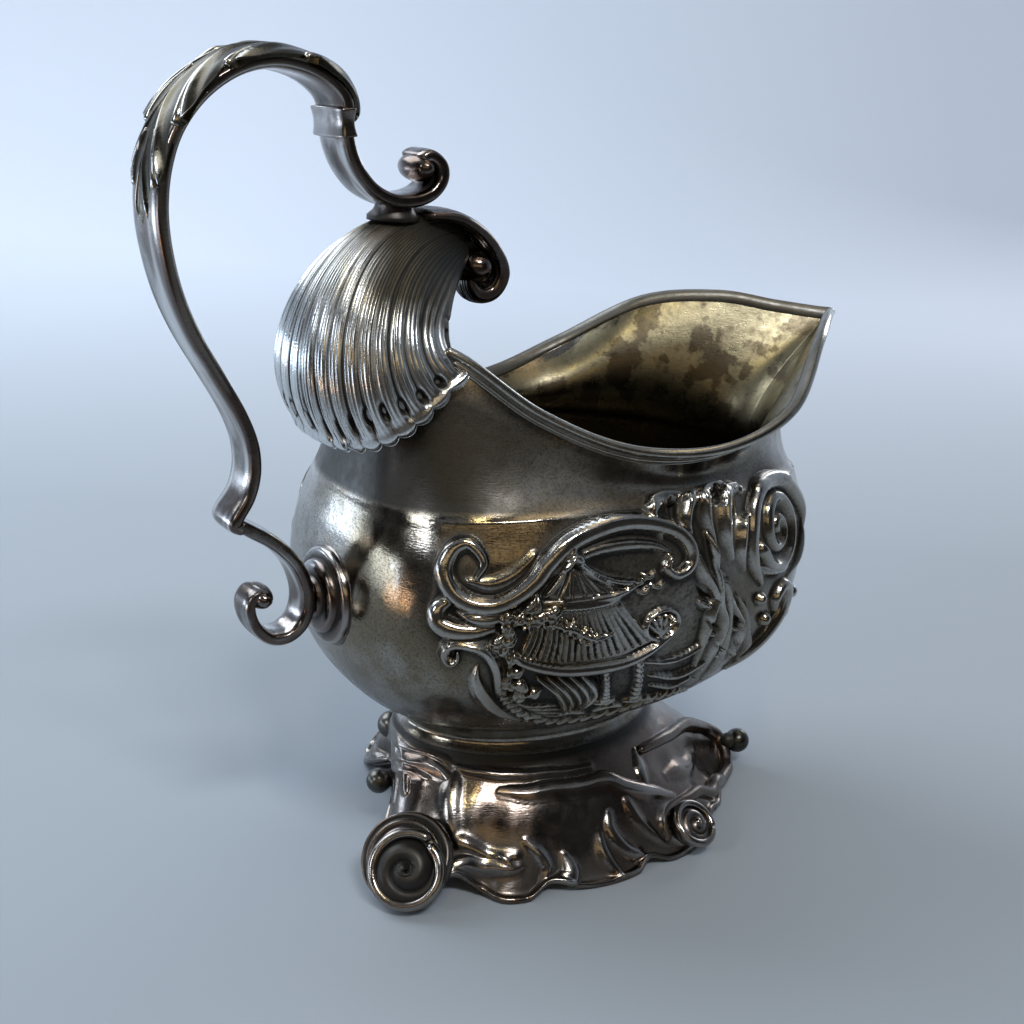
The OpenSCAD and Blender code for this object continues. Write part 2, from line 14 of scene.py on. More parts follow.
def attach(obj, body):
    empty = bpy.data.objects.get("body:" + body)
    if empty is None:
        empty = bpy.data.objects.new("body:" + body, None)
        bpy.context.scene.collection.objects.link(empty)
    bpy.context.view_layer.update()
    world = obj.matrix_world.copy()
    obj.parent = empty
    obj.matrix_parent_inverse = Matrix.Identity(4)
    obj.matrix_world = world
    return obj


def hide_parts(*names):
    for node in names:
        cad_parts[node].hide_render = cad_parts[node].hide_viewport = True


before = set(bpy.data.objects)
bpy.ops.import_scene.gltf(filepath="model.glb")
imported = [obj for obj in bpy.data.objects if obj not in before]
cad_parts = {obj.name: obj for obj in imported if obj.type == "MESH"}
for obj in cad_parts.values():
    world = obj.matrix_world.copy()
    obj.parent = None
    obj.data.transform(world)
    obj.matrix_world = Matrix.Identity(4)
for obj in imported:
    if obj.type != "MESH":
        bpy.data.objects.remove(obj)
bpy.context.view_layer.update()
MM = 0.001
RANDOM = np.random.default_rng(7)


# ---------------------------------------------------------------- outlines of the design

# height, rear end, front end, half width and bluntness of the rear of each level of the body
LEVELS = [
    [19, -25, 25.2, 18.2, 0],
    [21.5, -23.6, 24.6, 16.8, 0],
    [24.5, -27, 28, 18.8, 0],
    [28, -32.5, 39, 25, 0.25],
    [33, -37, 48, 30, 0.6],
    [40, -40, 53, 33.5, 0.9],
    [48, -41, 54.8, 34.6, 1],
    [56, -40, 53.6, 33.6, 0.9],
    [61, -38.6, 51.6, 31.6, 0.7],
]
# angle from the spout, length, half width and height of the edge of the mouth
MOUTH = [
    [0, 68.2, 0, 88.5],
    [15, 65.8, 1.8, 88.6],
    [30, 59.8, 6.9, 89.2],
    [45, 51, 14.3, 90.2],
    [60, 39.4, 23.3, 88],
    [75, 26, 31.4, 79.4],
    [90, 11.6, 31.5, 74.3],
    [105, -2.8, 26.6, 74],
    [120, -16.2, 20.4, 79.2],
    [135, -27, 15.3, 87],
    [150, -33, 11, 89.5],
    [165, -36.5, 6, 90],
    [180, -37.5, 0, 90],
]
# angle, reach and height of the ruffled edge of the foot
FOOT_EDGE = [
    [0, 48, 2], [12, 46.5, 0], [24, 44, 0], [34, 40.5, 1.5], [48, 37.5, 0], [56, 35.5, 0],
    [64, 37, 2], [77, 36, 0], [90, 34, 0], [104, 33, 1.5], [117, 31.5, 0], [128, 28.5, 3],
    [141, 24, 7], [157, 23.5, 8.5], [174, 25.5, 8], [184, 28, 6], [192, 32, 3], [203, 37.5, 1],
    [209, 38, 0.5], [215, 37.5, 0.8], [221, 36.5, 1.8], [227, 34.5, 3.5], [234, 33.5, 1],
    [240, 34.5, 0], [246, 33.5, 0], [251, 31, 1.5], [258, 31.4, 0.6], [268, 31.6, 0],
    [274.5, 31.5, 0], [279, 31.2, 1.5], [284, 33.2, 0.4], [292, 34.8, 0], [300, 36.4, 0.4],
    [308, 36.4, 2], [316, 38.4, 0.8], [324, 39.6, 2], [331, 42, 0], [338, 45, 0], [346, 47, 3],
    [353, 47.5, 4.5],
    [360, 48, 2],
]
# share of the seam's height left at each place from the seam (0) to the edge (1) of the foot
FOOT_FALL = [
    [0, 1], [0.06, 0.9], [0.14, 0.8], [0.25, 0.69], [0.38, 0.57], [0.52, 0.43], [0.66, 0.275],
    [0.8, 0.13], [0.92, 0.035], [1, 0],
]
# levels and lengths shared by the pieces of the body
FLOOR_LEVEL = 24.5
SHOULDER = 61.0
MOUTH_LEVEL = 91.0
SEAM = 19.3
COLLAR_TOP = 24.7
MID_X = 5.0
WALL = 1.1


def smooth(t, table):
    """Smooth curve through the rows of a table whose first column is the place along it."""
    table = np.asarray(table, float)
    place, value = table[:, 0], table[:, 1:]
    t = np.asarray(t, float)
    flat = t.ravel()
    i = np.clip(np.searchsorted(place, flat, side="right") - 1, 0, len(place) - 2)
    slope = np.zeros_like(value)
    slope[1:-1] = (value[2:] - value[:-2]) / (place[2:] - place[:-2])[:, None]
    slope[0] = (value[1] - value[0]) / (place[1] - place[0])
    slope[-1] = (value[-1] - value[-2]) / (place[-1] - place[-2])
    h = (place[i + 1] - place[i])[:, None]
    s = ((flat - place[i]) / (place[i + 1] - place[i]))[:, None]
    out = (
        (2 * s**3 - 3 * s**2 + 1) * value[i]
        + (s**3 - 2 * s**2 + s) * h * slope[i]
        + (3 * s**2 - 2 * s**3) * value[i + 1]
        + (s**3 - s**2) * h * slope[i + 1]
    )
    return out.reshape(t.shape + (value.shape[1],))


def curve(points, count):
    """The smooth curve through a list of points, at evenly spaced places along it."""
    points = np.asarray(points, float)
    rows = np.column_stack([np.arange(len(points)), points])
    return smooth(np.linspace(0, len(points) - 1, count), rows)


def soft(value, power):
    """A power that keeps the sign."""
    return np.sign(value) * np.abs(value) ** power


def unit(v):
    """Vectors scaled to length one."""
    return v / np.maximum(np.linalg.norm(v, axis=-1, keepdims=True), 1e-9)


def held(x):
    """Held between 0 and 1."""
    return np.clip(x, 0, 1)


def hump(x, middle, width):
    """A smooth bump of height 1 round the middle."""
    return np.exp(-(((x - middle) / width) ** 2))


def rad(degrees):
    return np.asarray(degrees, float) * math.pi / 180


def flat_out(p):
    """Level direction from the middle of the body out through a point."""
    out = p - np.array([MID_X, 0, 0])
    out[..., 2] = 0
    return unit(out)


def belly(level, angle):
    """The body below the shoulder, and the collar, at a level and an angle from the spout."""
    level, angle = np.broadcast_arrays(np.asarray(level, float), np.asarray(angle, float))
    row = smooth(level, LEVELS)
    middle, half = (row[..., 0] + row[..., 1]) / 2, (row[..., 1] - row[..., 0]) / 2
    c, s = np.cos(rad(angle)), np.sin(rad(angle))
    n = 2 + 0.95 * row[..., 3] * np.sqrt(np.maximum(0, -c))
    lift = 2.75 * held((level - 33) / 28) ** 2 * (1 + s**2)
    x, y = middle + half * soft(c, 2 / n), row[..., 2] * soft(s, 2 / n)
    return np.stack([x, y, level + lift], -1)


def mouth(angle):
    """The edge of the mouth."""
    w = (np.asarray(angle, float) + 180) % 360 - 180
    row = smooth(np.abs(w), MOUTH)
    return np.stack([row[..., 0], np.sign(w) * row[..., 1], row[..., 2]], -1)


def neck(t, angle):
    """The hollow neck from the shoulder (t = 0) to the mouth (t = 1)."""
    t, angle = np.broadcast_arrays(np.asarray(t, float), np.asarray(angle, float))
    low, high = belly(SHOULDER + 0 * t, angle), mouth(angle)
    dip = 3 + 2 * np.cos(rad(angle))
    bow = dip * np.sin(math.pi * held(t) ** 0.75)
    return low * (1 - t[..., None]) + high * t[..., None] - flat_out(low) * bow[..., None]


def skin(angle, level):
    """The outer skin of the body: the shoulder is at level 61 and the mouth at level 91."""
    level, angle = np.broadcast_arrays(np.asarray(level, float), np.asarray(angle, float))
    low = belly(np.minimum(level, SHOULDER), angle)
    high = neck(np.maximum(level - SHOULDER, 0) / (MOUTH_LEVEL - SHOULDER), angle)
    return np.where((level <= SHOULDER)[..., None], low, high)


def hood(u, v):
    """The hood: ribs fan out from the front of its top (u = 0) to the scalloped hem (u = 1)."""
    u, v = np.broadcast_arrays(np.asarray(u, float), np.asarray(v, float))
    angle = 180 + 47 * v
    c, s = np.maximum(np.cos(rad(90 * v)), 0), np.sin(rad(90 * v))
    level = SHOULDER + 30 * (0.36 + 0.6 * np.abs(v) ** 3)
    p0 = np.stack([-18.8 - 1.5 * c, -2.6 * v, 100.5 + 6 * c**0.6], -1)
    p1 = np.stack([-25.5 - 16.5 * c**0.7, -8.4 * s, 95.5 + 17 * c**0.7], -1)
    p2 = np.stack([-30.5 - 24 * c**0.6, -14 * s * (1 + 0.8 * c), 90.5 - 5.5 * c], -1)
    base = skin(angle, level)
    p3 = base + (1.4 + 4.2 * c)[..., None] * flat_out(base)
    w = u[..., None]
    return (1 - w) ** 3 * p0 + 3 * w * (1 - w) ** 2 * p1 + 3 * w**2 * (1 - w) * p2 + w**3 * p3


def foot(angle, t):
    """The upper surface of the foot from its seam with the collar (t = 0) to its edge (t = 1)."""
    angle, t = np.broadcast_arrays(np.asarray(angle, float), np.asarray(t, float))
    b = angle % 360
    own = smooth(b, FOOT_EDGE)
    around = sum(smooth((b + step) % 360, FOOT_EDGE) for step in (-24, -12, 0, 12, 24)) / 5
    share = held(1.15 * t[..., None]) ** 2
    edge = own * share + around * (1 - share)
    seam = belly(SEAM + 0 * b, b)
    reach = np.hypot(seam[..., 0], seam[..., 1]) * (1 - t) + edge[..., 0] * t
    turn = np.arctan2(seam[..., 1], seam[..., 0])
    low = np.maximum(0, edge[..., 1])
    wave = 0.3 * (1 - np.cos(2 * math.pi * t)) * np.sin(rad(12 * b)) * t
    z = low + (SEAM - low) * smooth(t, FOOT_FALL)[..., 0] + wave + 1.6 * np.sin(math.pi * t)
    return np.stack([reach * np.cos(turn), reach * np.sin(turn), z], -1)


# ---------------------------------------------------------------- meshes

BALL_ROWS = 24


class Shape:
    """Points, faces and the depth of grime and painted shade (below zero: polish and painted highlight) at
    each point, gathered for one piece.
    """

    def __init__(self):
        self.points, self.faces, self.grime_and_shade, self.count = [], [], [], 0

    def grid(self, points, grime_and_shade=0.0, wrap_rows=False, wrap_columns=False, flip=False, keep=None):
        """Adds a grid of points whose faces look along (column step) x (row step)."""
        rows, columns = points.shape[:2]
        index = np.arange(rows * columns).reshape(rows, columns) + self.count
        if wrap_rows:
            index = np.vstack([index, index[:1]])
        if wrap_columns:
            index = np.hstack([index, index[:, :1]])
        quads = np.stack([index[:-1, :-1], index[:-1, 1:], index[1:, 1:], index[1:, :-1]], -1)
        if keep is not None:
            quads = quads[keep]
        quads = quads.reshape(-1, 4)
        self.faces.append(quads[:, ::-1] if flip else quads)
        self.points.append(points.reshape(-1, 3))
        self.grime_and_shade.append(np.broadcast_to(grime_and_shade, points.shape[:2]).astype(float).ravel())
        self.count += rows * columns
        return self

    def bar(self, path, section, side=(0, 1, 0), around=28, grime_and_shade=None, ends=1.0):
        """Sweeps a section along a path whose columns are X, Y, Z, half thickness, half width.

        section(phi, s) gives the shares of the half thickness and half width round the bar,
        s being the place along it; each end is drawn in to a rounded tip.
        """
        place = path[:, :3]
        step = unit(np.gradient(place, axis=0))
        up = unit(np.cross(np.asarray(side, float), step))
        wide = np.cross(step, up)
        run = np.concatenate([[0], np.cumsum(np.linalg.norm(np.diff(place, axis=0), axis=1))])
        tip = np.maximum(path[:, 3] * ends, 0.05)
        near = np.minimum(run, run[-1] - run)
        draw = np.sqrt(held(1 - (1 - held(near / tip)) ** 2))
        phi = np.linspace(0, 2 * math.pi, around, endpoint=False)[None, :]
        s = np.linspace(0, 1, len(path))[:, None]
        lift, spread = section(phi, s)
        points = (
            place[:, None]
            + up[:, None] * (lift * (path[:, 3] * draw)[:, None])[..., None]
            + wide[:, None] * (spread * (path[:, 4] * draw)[:, None])[..., None]
        )
        shade = 0.0 if grime_and_shade is None else grime_and_shade(phi, s, place)
        return self.grid(points, shade, wrap_columns=True)

    def strip_between(self, first, last, count, grime_and_shade, **more):
        """Joins two rows of points that have the same count by a strip of faces."""
        share = np.linspace(0, 1, count)[:, None, None]
        return self.grid(first[None] * (1 - share) + last[None] * share, grime_and_shade, **more)

    def ball(self, centre, radius, stretch=1.0, axis="z", grime_and_shade=0.0):
        """A ball, stretched along the axis."""
        a = np.linspace(-math.pi / 2, math.pi / 2, BALL_ROWS)
        profile = np.column_stack([radius * np.cos(a), stretch * radius * np.sin(a)])
        return self.turned(profile, centre, axis=axis, grime_and_shade=grime_and_shade)

    def turned(self, profile, origin, axis="z", around=96, grime_and_shade=0.0):
        """Turns a profile of (radius, height) about an axis through the origin."""
        profile = np.asarray(profile, float)
        a = np.linspace(0, 2 * math.pi, around, endpoint=False)[None, :]
        r, h = profile[:, 0][:, None], profile[:, 1][:, None] + 0 * a
        x, y = r * np.cos(a), r * np.sin(a)
        stack = {"z": [x, y, h], "x": [h, x, y], "y": [y, h, x]}[axis]
        points = np.stack(stack, -1) + np.asarray(origin, float)
        shade = np.broadcast_to(np.asarray(grime_and_shade, float).reshape(-1, 1), points.shape[:2])
        return self.grid(points, shade, wrap_columns=True)


def even(level):
    """The same grime and painted shade (below zero: polish and painted highlight) all over a bar."""
    return lambda phi, s, place: level + 0 * phi * s


def piece(name, shape, material, slot, *nodes):
    """Makes one visible piece that stands for the named nodes of the frame."""
    points = np.concatenate(shape.points) * MM
    faces = np.concatenate(shape.faces)
    grime_and_shade = np.concatenate(shape.grime_and_shade)
    mesh = bpy.data.meshes.new(name)
    mesh.vertices.add(len(points))
    mesh.vertices.foreach_set("co", points.astype(np.float32).ravel())
    mesh.loops.add(faces.size)
    mesh.loops.foreach_set("vertex_index", faces.astype(np.int32).ravel())
    mesh.polygons.add(len(faces))
    mesh.polygons.foreach_set("loop_start", np.arange(0, faces.size, 4, dtype=np.int32))
    mesh.update(calc_edges=True)
    # this layer is grime and painted shade above zero, polish and painted highlight below zero
    dirt_and_shade = mesh.attributes.new("grime_and_shade", "FLOAT", "POINT")
    dirt_and_shade.data.foreach_set("value", grime_and_shade.astype(np.float32))
    work = bmesh.new()
    work.from_mesh(mesh)
    bmesh.ops.remove_doubles(work, verts=work.verts, dist=2e-6)
    bmesh.ops.dissolve_degenerate(work, edges=work.edges, dist=1e-7)
    for face in work.faces:
        face.smooth = True
    work.to_mesh(mesh)
    work.free()
    obj = bpy.data.objects.new(name, mesh)
    bpy.context.scene.collection.objects.link(obj)
    mesh.materials.append(material)
    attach(obj, "root")
    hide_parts(*nodes)


def blur(field, sigma):
    """Gaussian blur of a grid, sigma in cells, with its edges held."""
    for axis in (0, 1):
        s = sigma[axis] if isinstance(sigma, tuple) else sigma
        reach = max(1, int(3 * s))
        x = np.arange(-reach, reach + 1)
        kernel = np.exp(-0.5 * (x / s) ** 2)
        kernel /= kernel.sum()
        pad = [(reach, reach) if a == axis else (0, 0) for a in (0, 1)]
        wide = np.pad(field, pad, mode="edge")
        total = np.zeros_like(field)
        for k, weight in enumerate(kernel):
            part = [slice(None), slice(None)]
            part[axis] = slice(k, k + field.shape[axis])
            total += weight * wide[tuple(part)]
        field = total
    return field


def lattice_noise(shape, cells):
    """Smooth seeded noise between -1 and 1 with about that many cells along each side."""
    grid = RANDOM.uniform(-1, 1, (cells[0] + 2, cells[1] + 2))
    y = np.linspace(0, cells[0], shape[0])
    x = np.linspace(0, cells[1], shape[1])
    yi, xi = y.astype(int), x.astype(int)
    fy, fx = y - yi, x - xi
    fy, fx = (fy * fy * (3 - 2 * fy))[:, None], (fx * fx * (3 - 2 * fx))[None, :]
    a, b = grid[np.ix_(yi, xi)], grid[np.ix_(yi, xi + 1)]
    c, d = grid[np.ix_(yi + 1, xi)], grid[np.ix_(yi + 1, xi + 1)]
    return (a * (1 - fx) + b * fx) * (1 - fy) + (c * (1 - fx) + d * fx) * fy


# ---------------------------------------------------------------- chasing and casting relief

def dome(x):
    """Half round."""
    return np.sqrt(held(1 - x * x))


def cove(x):
    """A broad rounded band with one fine line sunk near its edge."""
    return held(1 - np.abs(x) ** 2.6) ** 0.6 * (1 - 0.16 * hump(x, 0.68, 0.09))


def swell(x):
    """A soft rise with no edge."""
    return held(1 - x * x) ** 2


def keel(x):
    """A sharp ridge."""
    return held(1 - np.abs(x)) ** 0.8


def lip(x):
    """High rounded edge on the right of the stroke, fading to nothing on its left."""
    return np.where(x > 0, dome(held(x)), held(1 + x) ** 1.6)


def lip_left(x):
    """The same with the high edge on the left."""
    return lip(-x)


# height over which strokes that meet run into each other
FILLET = 0.12


class Relief:
    """A patch of a surface whose height the strokes raise or cut; heights in millimetres."""

    def __init__(self, surface, first, second, shape):
        """surface(a, b) gives points; first and second are the ranges of a and b."""
        self.a = np.linspace(first[0], first[1], shape[1])
        self.b = np.linspace(second[0], second[1], shape[0])
        self.surface = surface
        self.points = surface(self.a[None, :], self.b[:, None])
        d_a = np.gradient(self.points, axis=1)
        d_b = np.gradient(self.points, axis=0)
        self.normal = unit(np.cross(d_a, d_b))
        self.height = np.zeros(shape)

    def near(self, path, reach):
        """(cells, distance, signed side share, place along) of the cells near a path of (a, b)."""
        path = np.asarray(path, float)
        line = self.surface(path[:, 0], path[:, 1])
        margin = reach + 0.5
        low, high = line.min(0) - margin, line.max(0) + margin
        inside = ((self.points > low) & (self.points < high)).all(-1)
        cells = np.nonzero(inside)
        p = self.points[cells]
        n = self.normal[cells]
        best = np.full(len(p), 1e9)
        place = np.zeros(len(p))
        side = np.zeros(len(p))
        for k in range(len(line) - 1):
            start, edge = line[k], line[k + 1] - line[k]
            long = edge @ edge
            if long < 1e-9:
                continue
            t = held((p - start) @ edge / long)
            off = p - start - t[:, None] * edge
            d = np.einsum("ij,ij->i", off, off)
            closer = d < best
            best[closer] = d[closer]
            place[closer] = (k + t[closer]) / (len(line) - 1)
            turn = np.cross(edge, off[closer])
            side[closer] = np.sign(np.einsum("ij,ij->i", turn, n[closer]))
        return cells, np.sqrt(best), side, place

    def stroke(self, points, profile=dome, count=0, mode="add", veins=0, vein_deep=0.25):
        """Raises (or cuts) a band along points of a, b, half width, height."""
        points = np.asarray(points, float)
        path = curve(points, count or 6 * len(points))
        cells, distance, side, place = self.near(path[:, :2], path[:, 2].max())
        at = place * (len(path) - 1)
        i = np.clip(at.astype(int), 0, len(path) - 2)
        f = at - i
        wide = path[i, 2] * (1 - f) + path[i + 1, 2] * f
        high = path[i, 3] * (1 - f) + path[i + 1, 3] * f
        x = held(distance / np.maximum(wide, 0.05))
        h = high * profile(-side * x)
        h[x >= 1] = 0
        if veins:
            sweep = place * veins - 0.6 * x
            h -= high * vein_deep * (0.5 - 0.5 * np.cos(2 * math.pi * sweep)) ** 3 * (h > 0)
        if mode == "cut":
            self.height[cells] -= h
        elif mode == "over":
            self.height[cells] += h
        else:
            old = self.height[cells]
            mixed = held(0.5 + 0.5 * (old - h) / FILLET)
            both = h * (1 - mixed) + old * mixed + FILLET * mixed * (1 - mixed)
            self.height[cells] = np.where(x < 1, np.maximum(both, old), old)

    def region(self, corners, depth, soften=0.5):
        """Sinks (or raises) the ground inside a closed outline of (a, b) and returns its mask."""
        corners = np.asarray(corners, float)
        a, b = np.meshgrid(self.a, self.b)
        inside = np.zeros(a.shape, bool)
        for (a0, b0), (a1, b1) in zip(corners, np.roll(corners, -1, axis=0)):
            crosses = (b0 > b) != (b1 > b)
            with np.errstate(divide="ignore", invalid="ignore"):
                inside ^= crosses & (a < (a1 - a0) * (b - b0) / (b1 - b0) + a0)
        mask = blur(inside.astype(float), soften * 5)
        self.height += depth * mask
        return mask

    def mat(self, mask, depth, cells):
        """Punches a matted ground of small pits where the mask is set."""
        pits = lattice_noise(self.height.shape, cells)
        self.height -= depth * mask * held(pits)

    def grime_and_shade(self, fine, broad, gain):
        """How far each cell lies below its neighbourhood: high in grooves, where it lays grime and painted
        shade, negative on ridges, where it lays polish and painted highlight.
        """
        h = self.height
        return gain * (0.6 * (blur(h, fine) - h) + 0.55 * (blur(h, broad) - h))

    def solid(self):
        return self.points + self.normal * self.height[..., None]


# ---------------------------------------------------------------- materials

def link(tree, source, target):
    """Joins two sockets."""
    tree.links.new(source, target)


def add(tree, kind, **values):
    """A shader node; values name its inputs (with _ for spaces) or its own settings."""
    node = tree.nodes.new(kind)
    for name, value in values.items():
        if name in node.inputs:
            node.inputs[name].default_value = value
        elif name.replace("_", " ") in node.inputs:
            node.inputs[name.replace("_", " ")].default_value = value
        else:
            setattr(node, name, value)
    return node


def noise(tree, place, scale, detail=3.0, rough=0.55, stretch=None):
    """Noise in metres of the object's own space, between about 0.2 and 0.8."""
    if stretch:
        mapping = add(tree, "ShaderNodeMapping", Scale=stretch)
        link(tree, place, mapping.inputs["Vector"])
        place = mapping.outputs["Vector"]
    node = add(tree, "ShaderNodeTexNoise", Scale=scale, Detail=detail, Roughness=rough)
    link(tree, place, node.inputs["Vector"])
    return node.outputs["Fac"]


def span(tree, value, low, high, out_low=0.0, out_high=1.0):
    """Clamped linear change of range."""
    node = tree.nodes.new("ShaderNodeMapRange")
    link(tree, value, node.inputs["Value"])
    limits = {"From Min": low, "From Max": high, "To Min": out_low, "To Max": out_high}
    for name, number in limits.items():
        node.inputs[name].default_value = number
    return node.outputs["Result"]


def blend(tree, factor, first, second):
    """Mixes two colours, each a colour or a socket."""
    node = tree.nodes.new("ShaderNodeMix")
    node.data_type = "RGBA"
    link(tree, factor, node.inputs[0])
    for slot, colour in ((6, first), (7, second)):
        if isinstance(colour, tuple):
            node.inputs[slot].default_value = (*colour, 1)
        else:
            link(tree, colour, node.inputs[slot])
    return node.outputs[2]


def sums(tree, *values, kind="ADD", clamp=False):
    """Adds or multiplies sockets and numbers together."""
    total = values[0]
    for value in values[1:]:
        node = add(tree, "ShaderNodeMath", operation=kind, use_clamp=clamp)
        for slot, item in ((0, total), (1, value)):
            if isinstance(item, (int, float)):
                node.inputs[slot].default_value = item
            else:
                link(tree, item, node.inputs[slot])
        total = node.outputs[0]
    return total


# bright silver laid on ridges as polish and painted highlight
BRIGHT = (0.82, 0.82, 0.80)
WORN = (0.42, 0.405, 0.38)
BROWN = (0.17, 0.13, 0.10)
GILT = (0.205, 0.182, 0.12)
# near black of the specks and of the grime and painted shade in hollows
GRIME_AND_SHADE = (0.014, 0.013, 0.011)


def silver(name, clean, aged, patch, rough, tarnish, stain=BROWN, pits=0.15, shine=0.75,
           cloud=(55, 0.36, 0.66), lean=None):
    """Old silver: clean metal, tarnish in clouds and specks, dark grime and painted shade in every hollow,
    polish and painted highlight on every ridge.

    patch, pits and shine are the strength of the blotches, of the dark specks and of the
    polish and painted highlight on ridges; cloud is the scale and range of the clouds of tarnish,
    and lean a direction with the range of places along it over which the colour turns to the
    aged one: tarnish on the hood, painted shade in the well and on the strap.
    """
    material = bpy.data.materials.new(name)
    material.use_nodes = True
    tree = material.node_tree
    shader = tree.nodes["Principled BSDF"]
    place = tree.nodes.new("ShaderNodeTexCoord").outputs["Object"]
    grime_and_shade = add(tree, "ShaderNodeAttribute", attribute_name="grime_and_shade").outputs["Fac"]
    clouds = noise(tree, place, cloud[0], 4, 0.6)
    mottle = noise(tree, place, 420, 4, 0.65)
    specks = noise(tree, place, 2600, 3, 0.7)
    film_and_shade = span(tree, clouds, cloud[1], cloud[2])
    # the lean turns the colour to the aged one along a direction: painted shade in the well and on the
    # strap, tarnish on the hood
    if lean:
        toward = add(tree, "ShaderNodeVectorMath", operation="DOT_PRODUCT")
        link(tree, place, toward.inputs[0])
        toward.inputs[1].default_value = lean[:3]
        more = span(tree, toward.outputs["Value"], lean[3], lean[4], -0.4, 0.7)
        film_and_shade = sums(tree, film_and_shade, more, clamp=True)
    colour = blend(tree, sums(tree, film_and_shade, tarnish * 1.5, kind="MULTIPLY", clamp=True), clean, aged)
    blot = span(tree, mottle, 0.5, 0.72, 0.0, patch)
    colour = blend(tree, blot, colour, stain)
    dots = span(tree, specks, 0.49, 0.60, 0.0, pits)
    colour = blend(tree, dots, colour, GRIME_AND_SHADE)
    # grime and painted shade turn the hollows near black; polish and painted highlight turn the ridges
    # bright
    depth = span(tree, grime_and_shade, 0.05, 0.75)
    polish_and_highlight = span(tree, grime_and_shade, -0.05, -0.5, 0.0, shine)
    colour = blend(tree, polish_and_highlight, colour, BRIGHT)
    colour = blend(tree, depth, colour, GRIME_AND_SHADE)
    link(tree, colour, shader.inputs["Base Color"])
    wear = span(tree, mottle, 0.3, 0.7, rough[0], rough[1])
    dull = sums(tree, depth, 0.25, kind="MULTIPLY")
    link(tree, sums(tree, wear, dull), shader.inputs["Roughness"])
    link(tree, span(tree, depth, 0.3, 1.0, 1.0, 0.35), shader.inputs["Metallic"])
    scratch = noise(tree, place, 900, 2, 0.5, stretch=(1.0, 1.0, 5.0))
    layers = ((scratch, 0.35), (mottle, 0.7), (specks, 0.25), (clouds, 1.2))
    height = sums(tree, *[sums(tree, layer, share, kind="MULTIPLY") for layer, share in layers])
    bump = add(tree, "ShaderNodeBump", Strength=0.35, Distance=0.00012)
    link(tree, height, bump.inputs["Height"])
    link(tree, bump.outputs["Normal"], shader.inputs["Normal"])
    return material


AGED = (0.20, 0.168, 0.12)
OLIVE = (0.17, 0.145, 0.09)
worn = silver("silver_worn", WORN, AGED, 0.5, rough=(0.07, 0.22), tarnish=0.85, stain=OLIVE, pits=0.4)
chased = silver("silver_chased", WORN, AGED, 0.5, rough=(0.07, 0.22), tarnish=0.85, stain=OLIVE, pits=0.4,
                shine=0.25)
# the lean turns the well to its dark aged colour towards the bottom: painted shade
inside = silver("silver_inside", GILT, (0.08, 0.067, 0.046), 0.5, rough=(0.24, 0.42), tarnish=1.0,
                stain=(0.05, 0.042, 0.03), pits=0.15, cloud=(130, 0.50, 0.58),
                lean=(0, 0, -1, -0.084, -0.060))
rim_metal = silver("silver_rim", (0.55, 0.54, 0.50), (0.29, 0.27, 0.22), 0.4, rough=(0.10, 0.22),
                   tarnish=0.6)
# the lean darkens these pieces on their -Y side, away from the key light: painted shade
strap_metal = silver("silver_strap", (0.36, 0.35, 0.345), (0.15, 0.12, 0.11), 0.8, rough=(0.12, 0.24),
                     tarnish=1.0, cloud=(95, 0.40, 0.62), lean=(0, -1, 0, -0.002, 0.006))
fluted = silver("silver_fluted", (0.78, 0.80, 0.81), (0.15, 0.13, 0.085), 0.4, rough=(0.12, 0.26),
                tarnish=0.65, lean=(0.6, 0, 0.8, 0.048, 0.066))
leafy = silver("silver_leaf", (0.165, 0.16, 0.14), (0.09, 0.08, 0.055), 0.6, rough=(0.10, 0.24),
               tarnish=0.9, shine=0.5)
cast = silver("silver_cast", (0.29, 0.272, 0.258), (0.16, 0.125, 0.105), 0.45, rough=(0.12, 0.26),
              tarnish=0.9, shine=0.4)
dark = silver("silver_dark", (0.16, 0.16, 0.15), (0.07, 0.07, 0.06), 0.5, rough=(0.2, 0.36), tarnish=0.8)


# ---------------------------------------------------------------- body

# the chased panel on each side: degrees from the spout, levels, rows and columns
PANEL_ANGLES = (36.0, 150.0)
PANEL_LEVELS = (29.5, 66.5)
PANEL_GRID = (180, 500)
BODY_STEP = 0.75


def neck_and_belly_shade(angle, level):
    """A dull dark coat of painted shade in the hollow of the neck, heaviest at the back, and painted shade
    under the belly.
    """
    turn = np.abs((angle + 180) % 360 - 180)
    hollow = held((level - 61.6) / 1.2) * held((90 - level) / 8)
    under = held((40 - level) / 9)
    return (0.24 + 0.45 * held((turn - 105) / 30)) * hollow + 0.42 * under


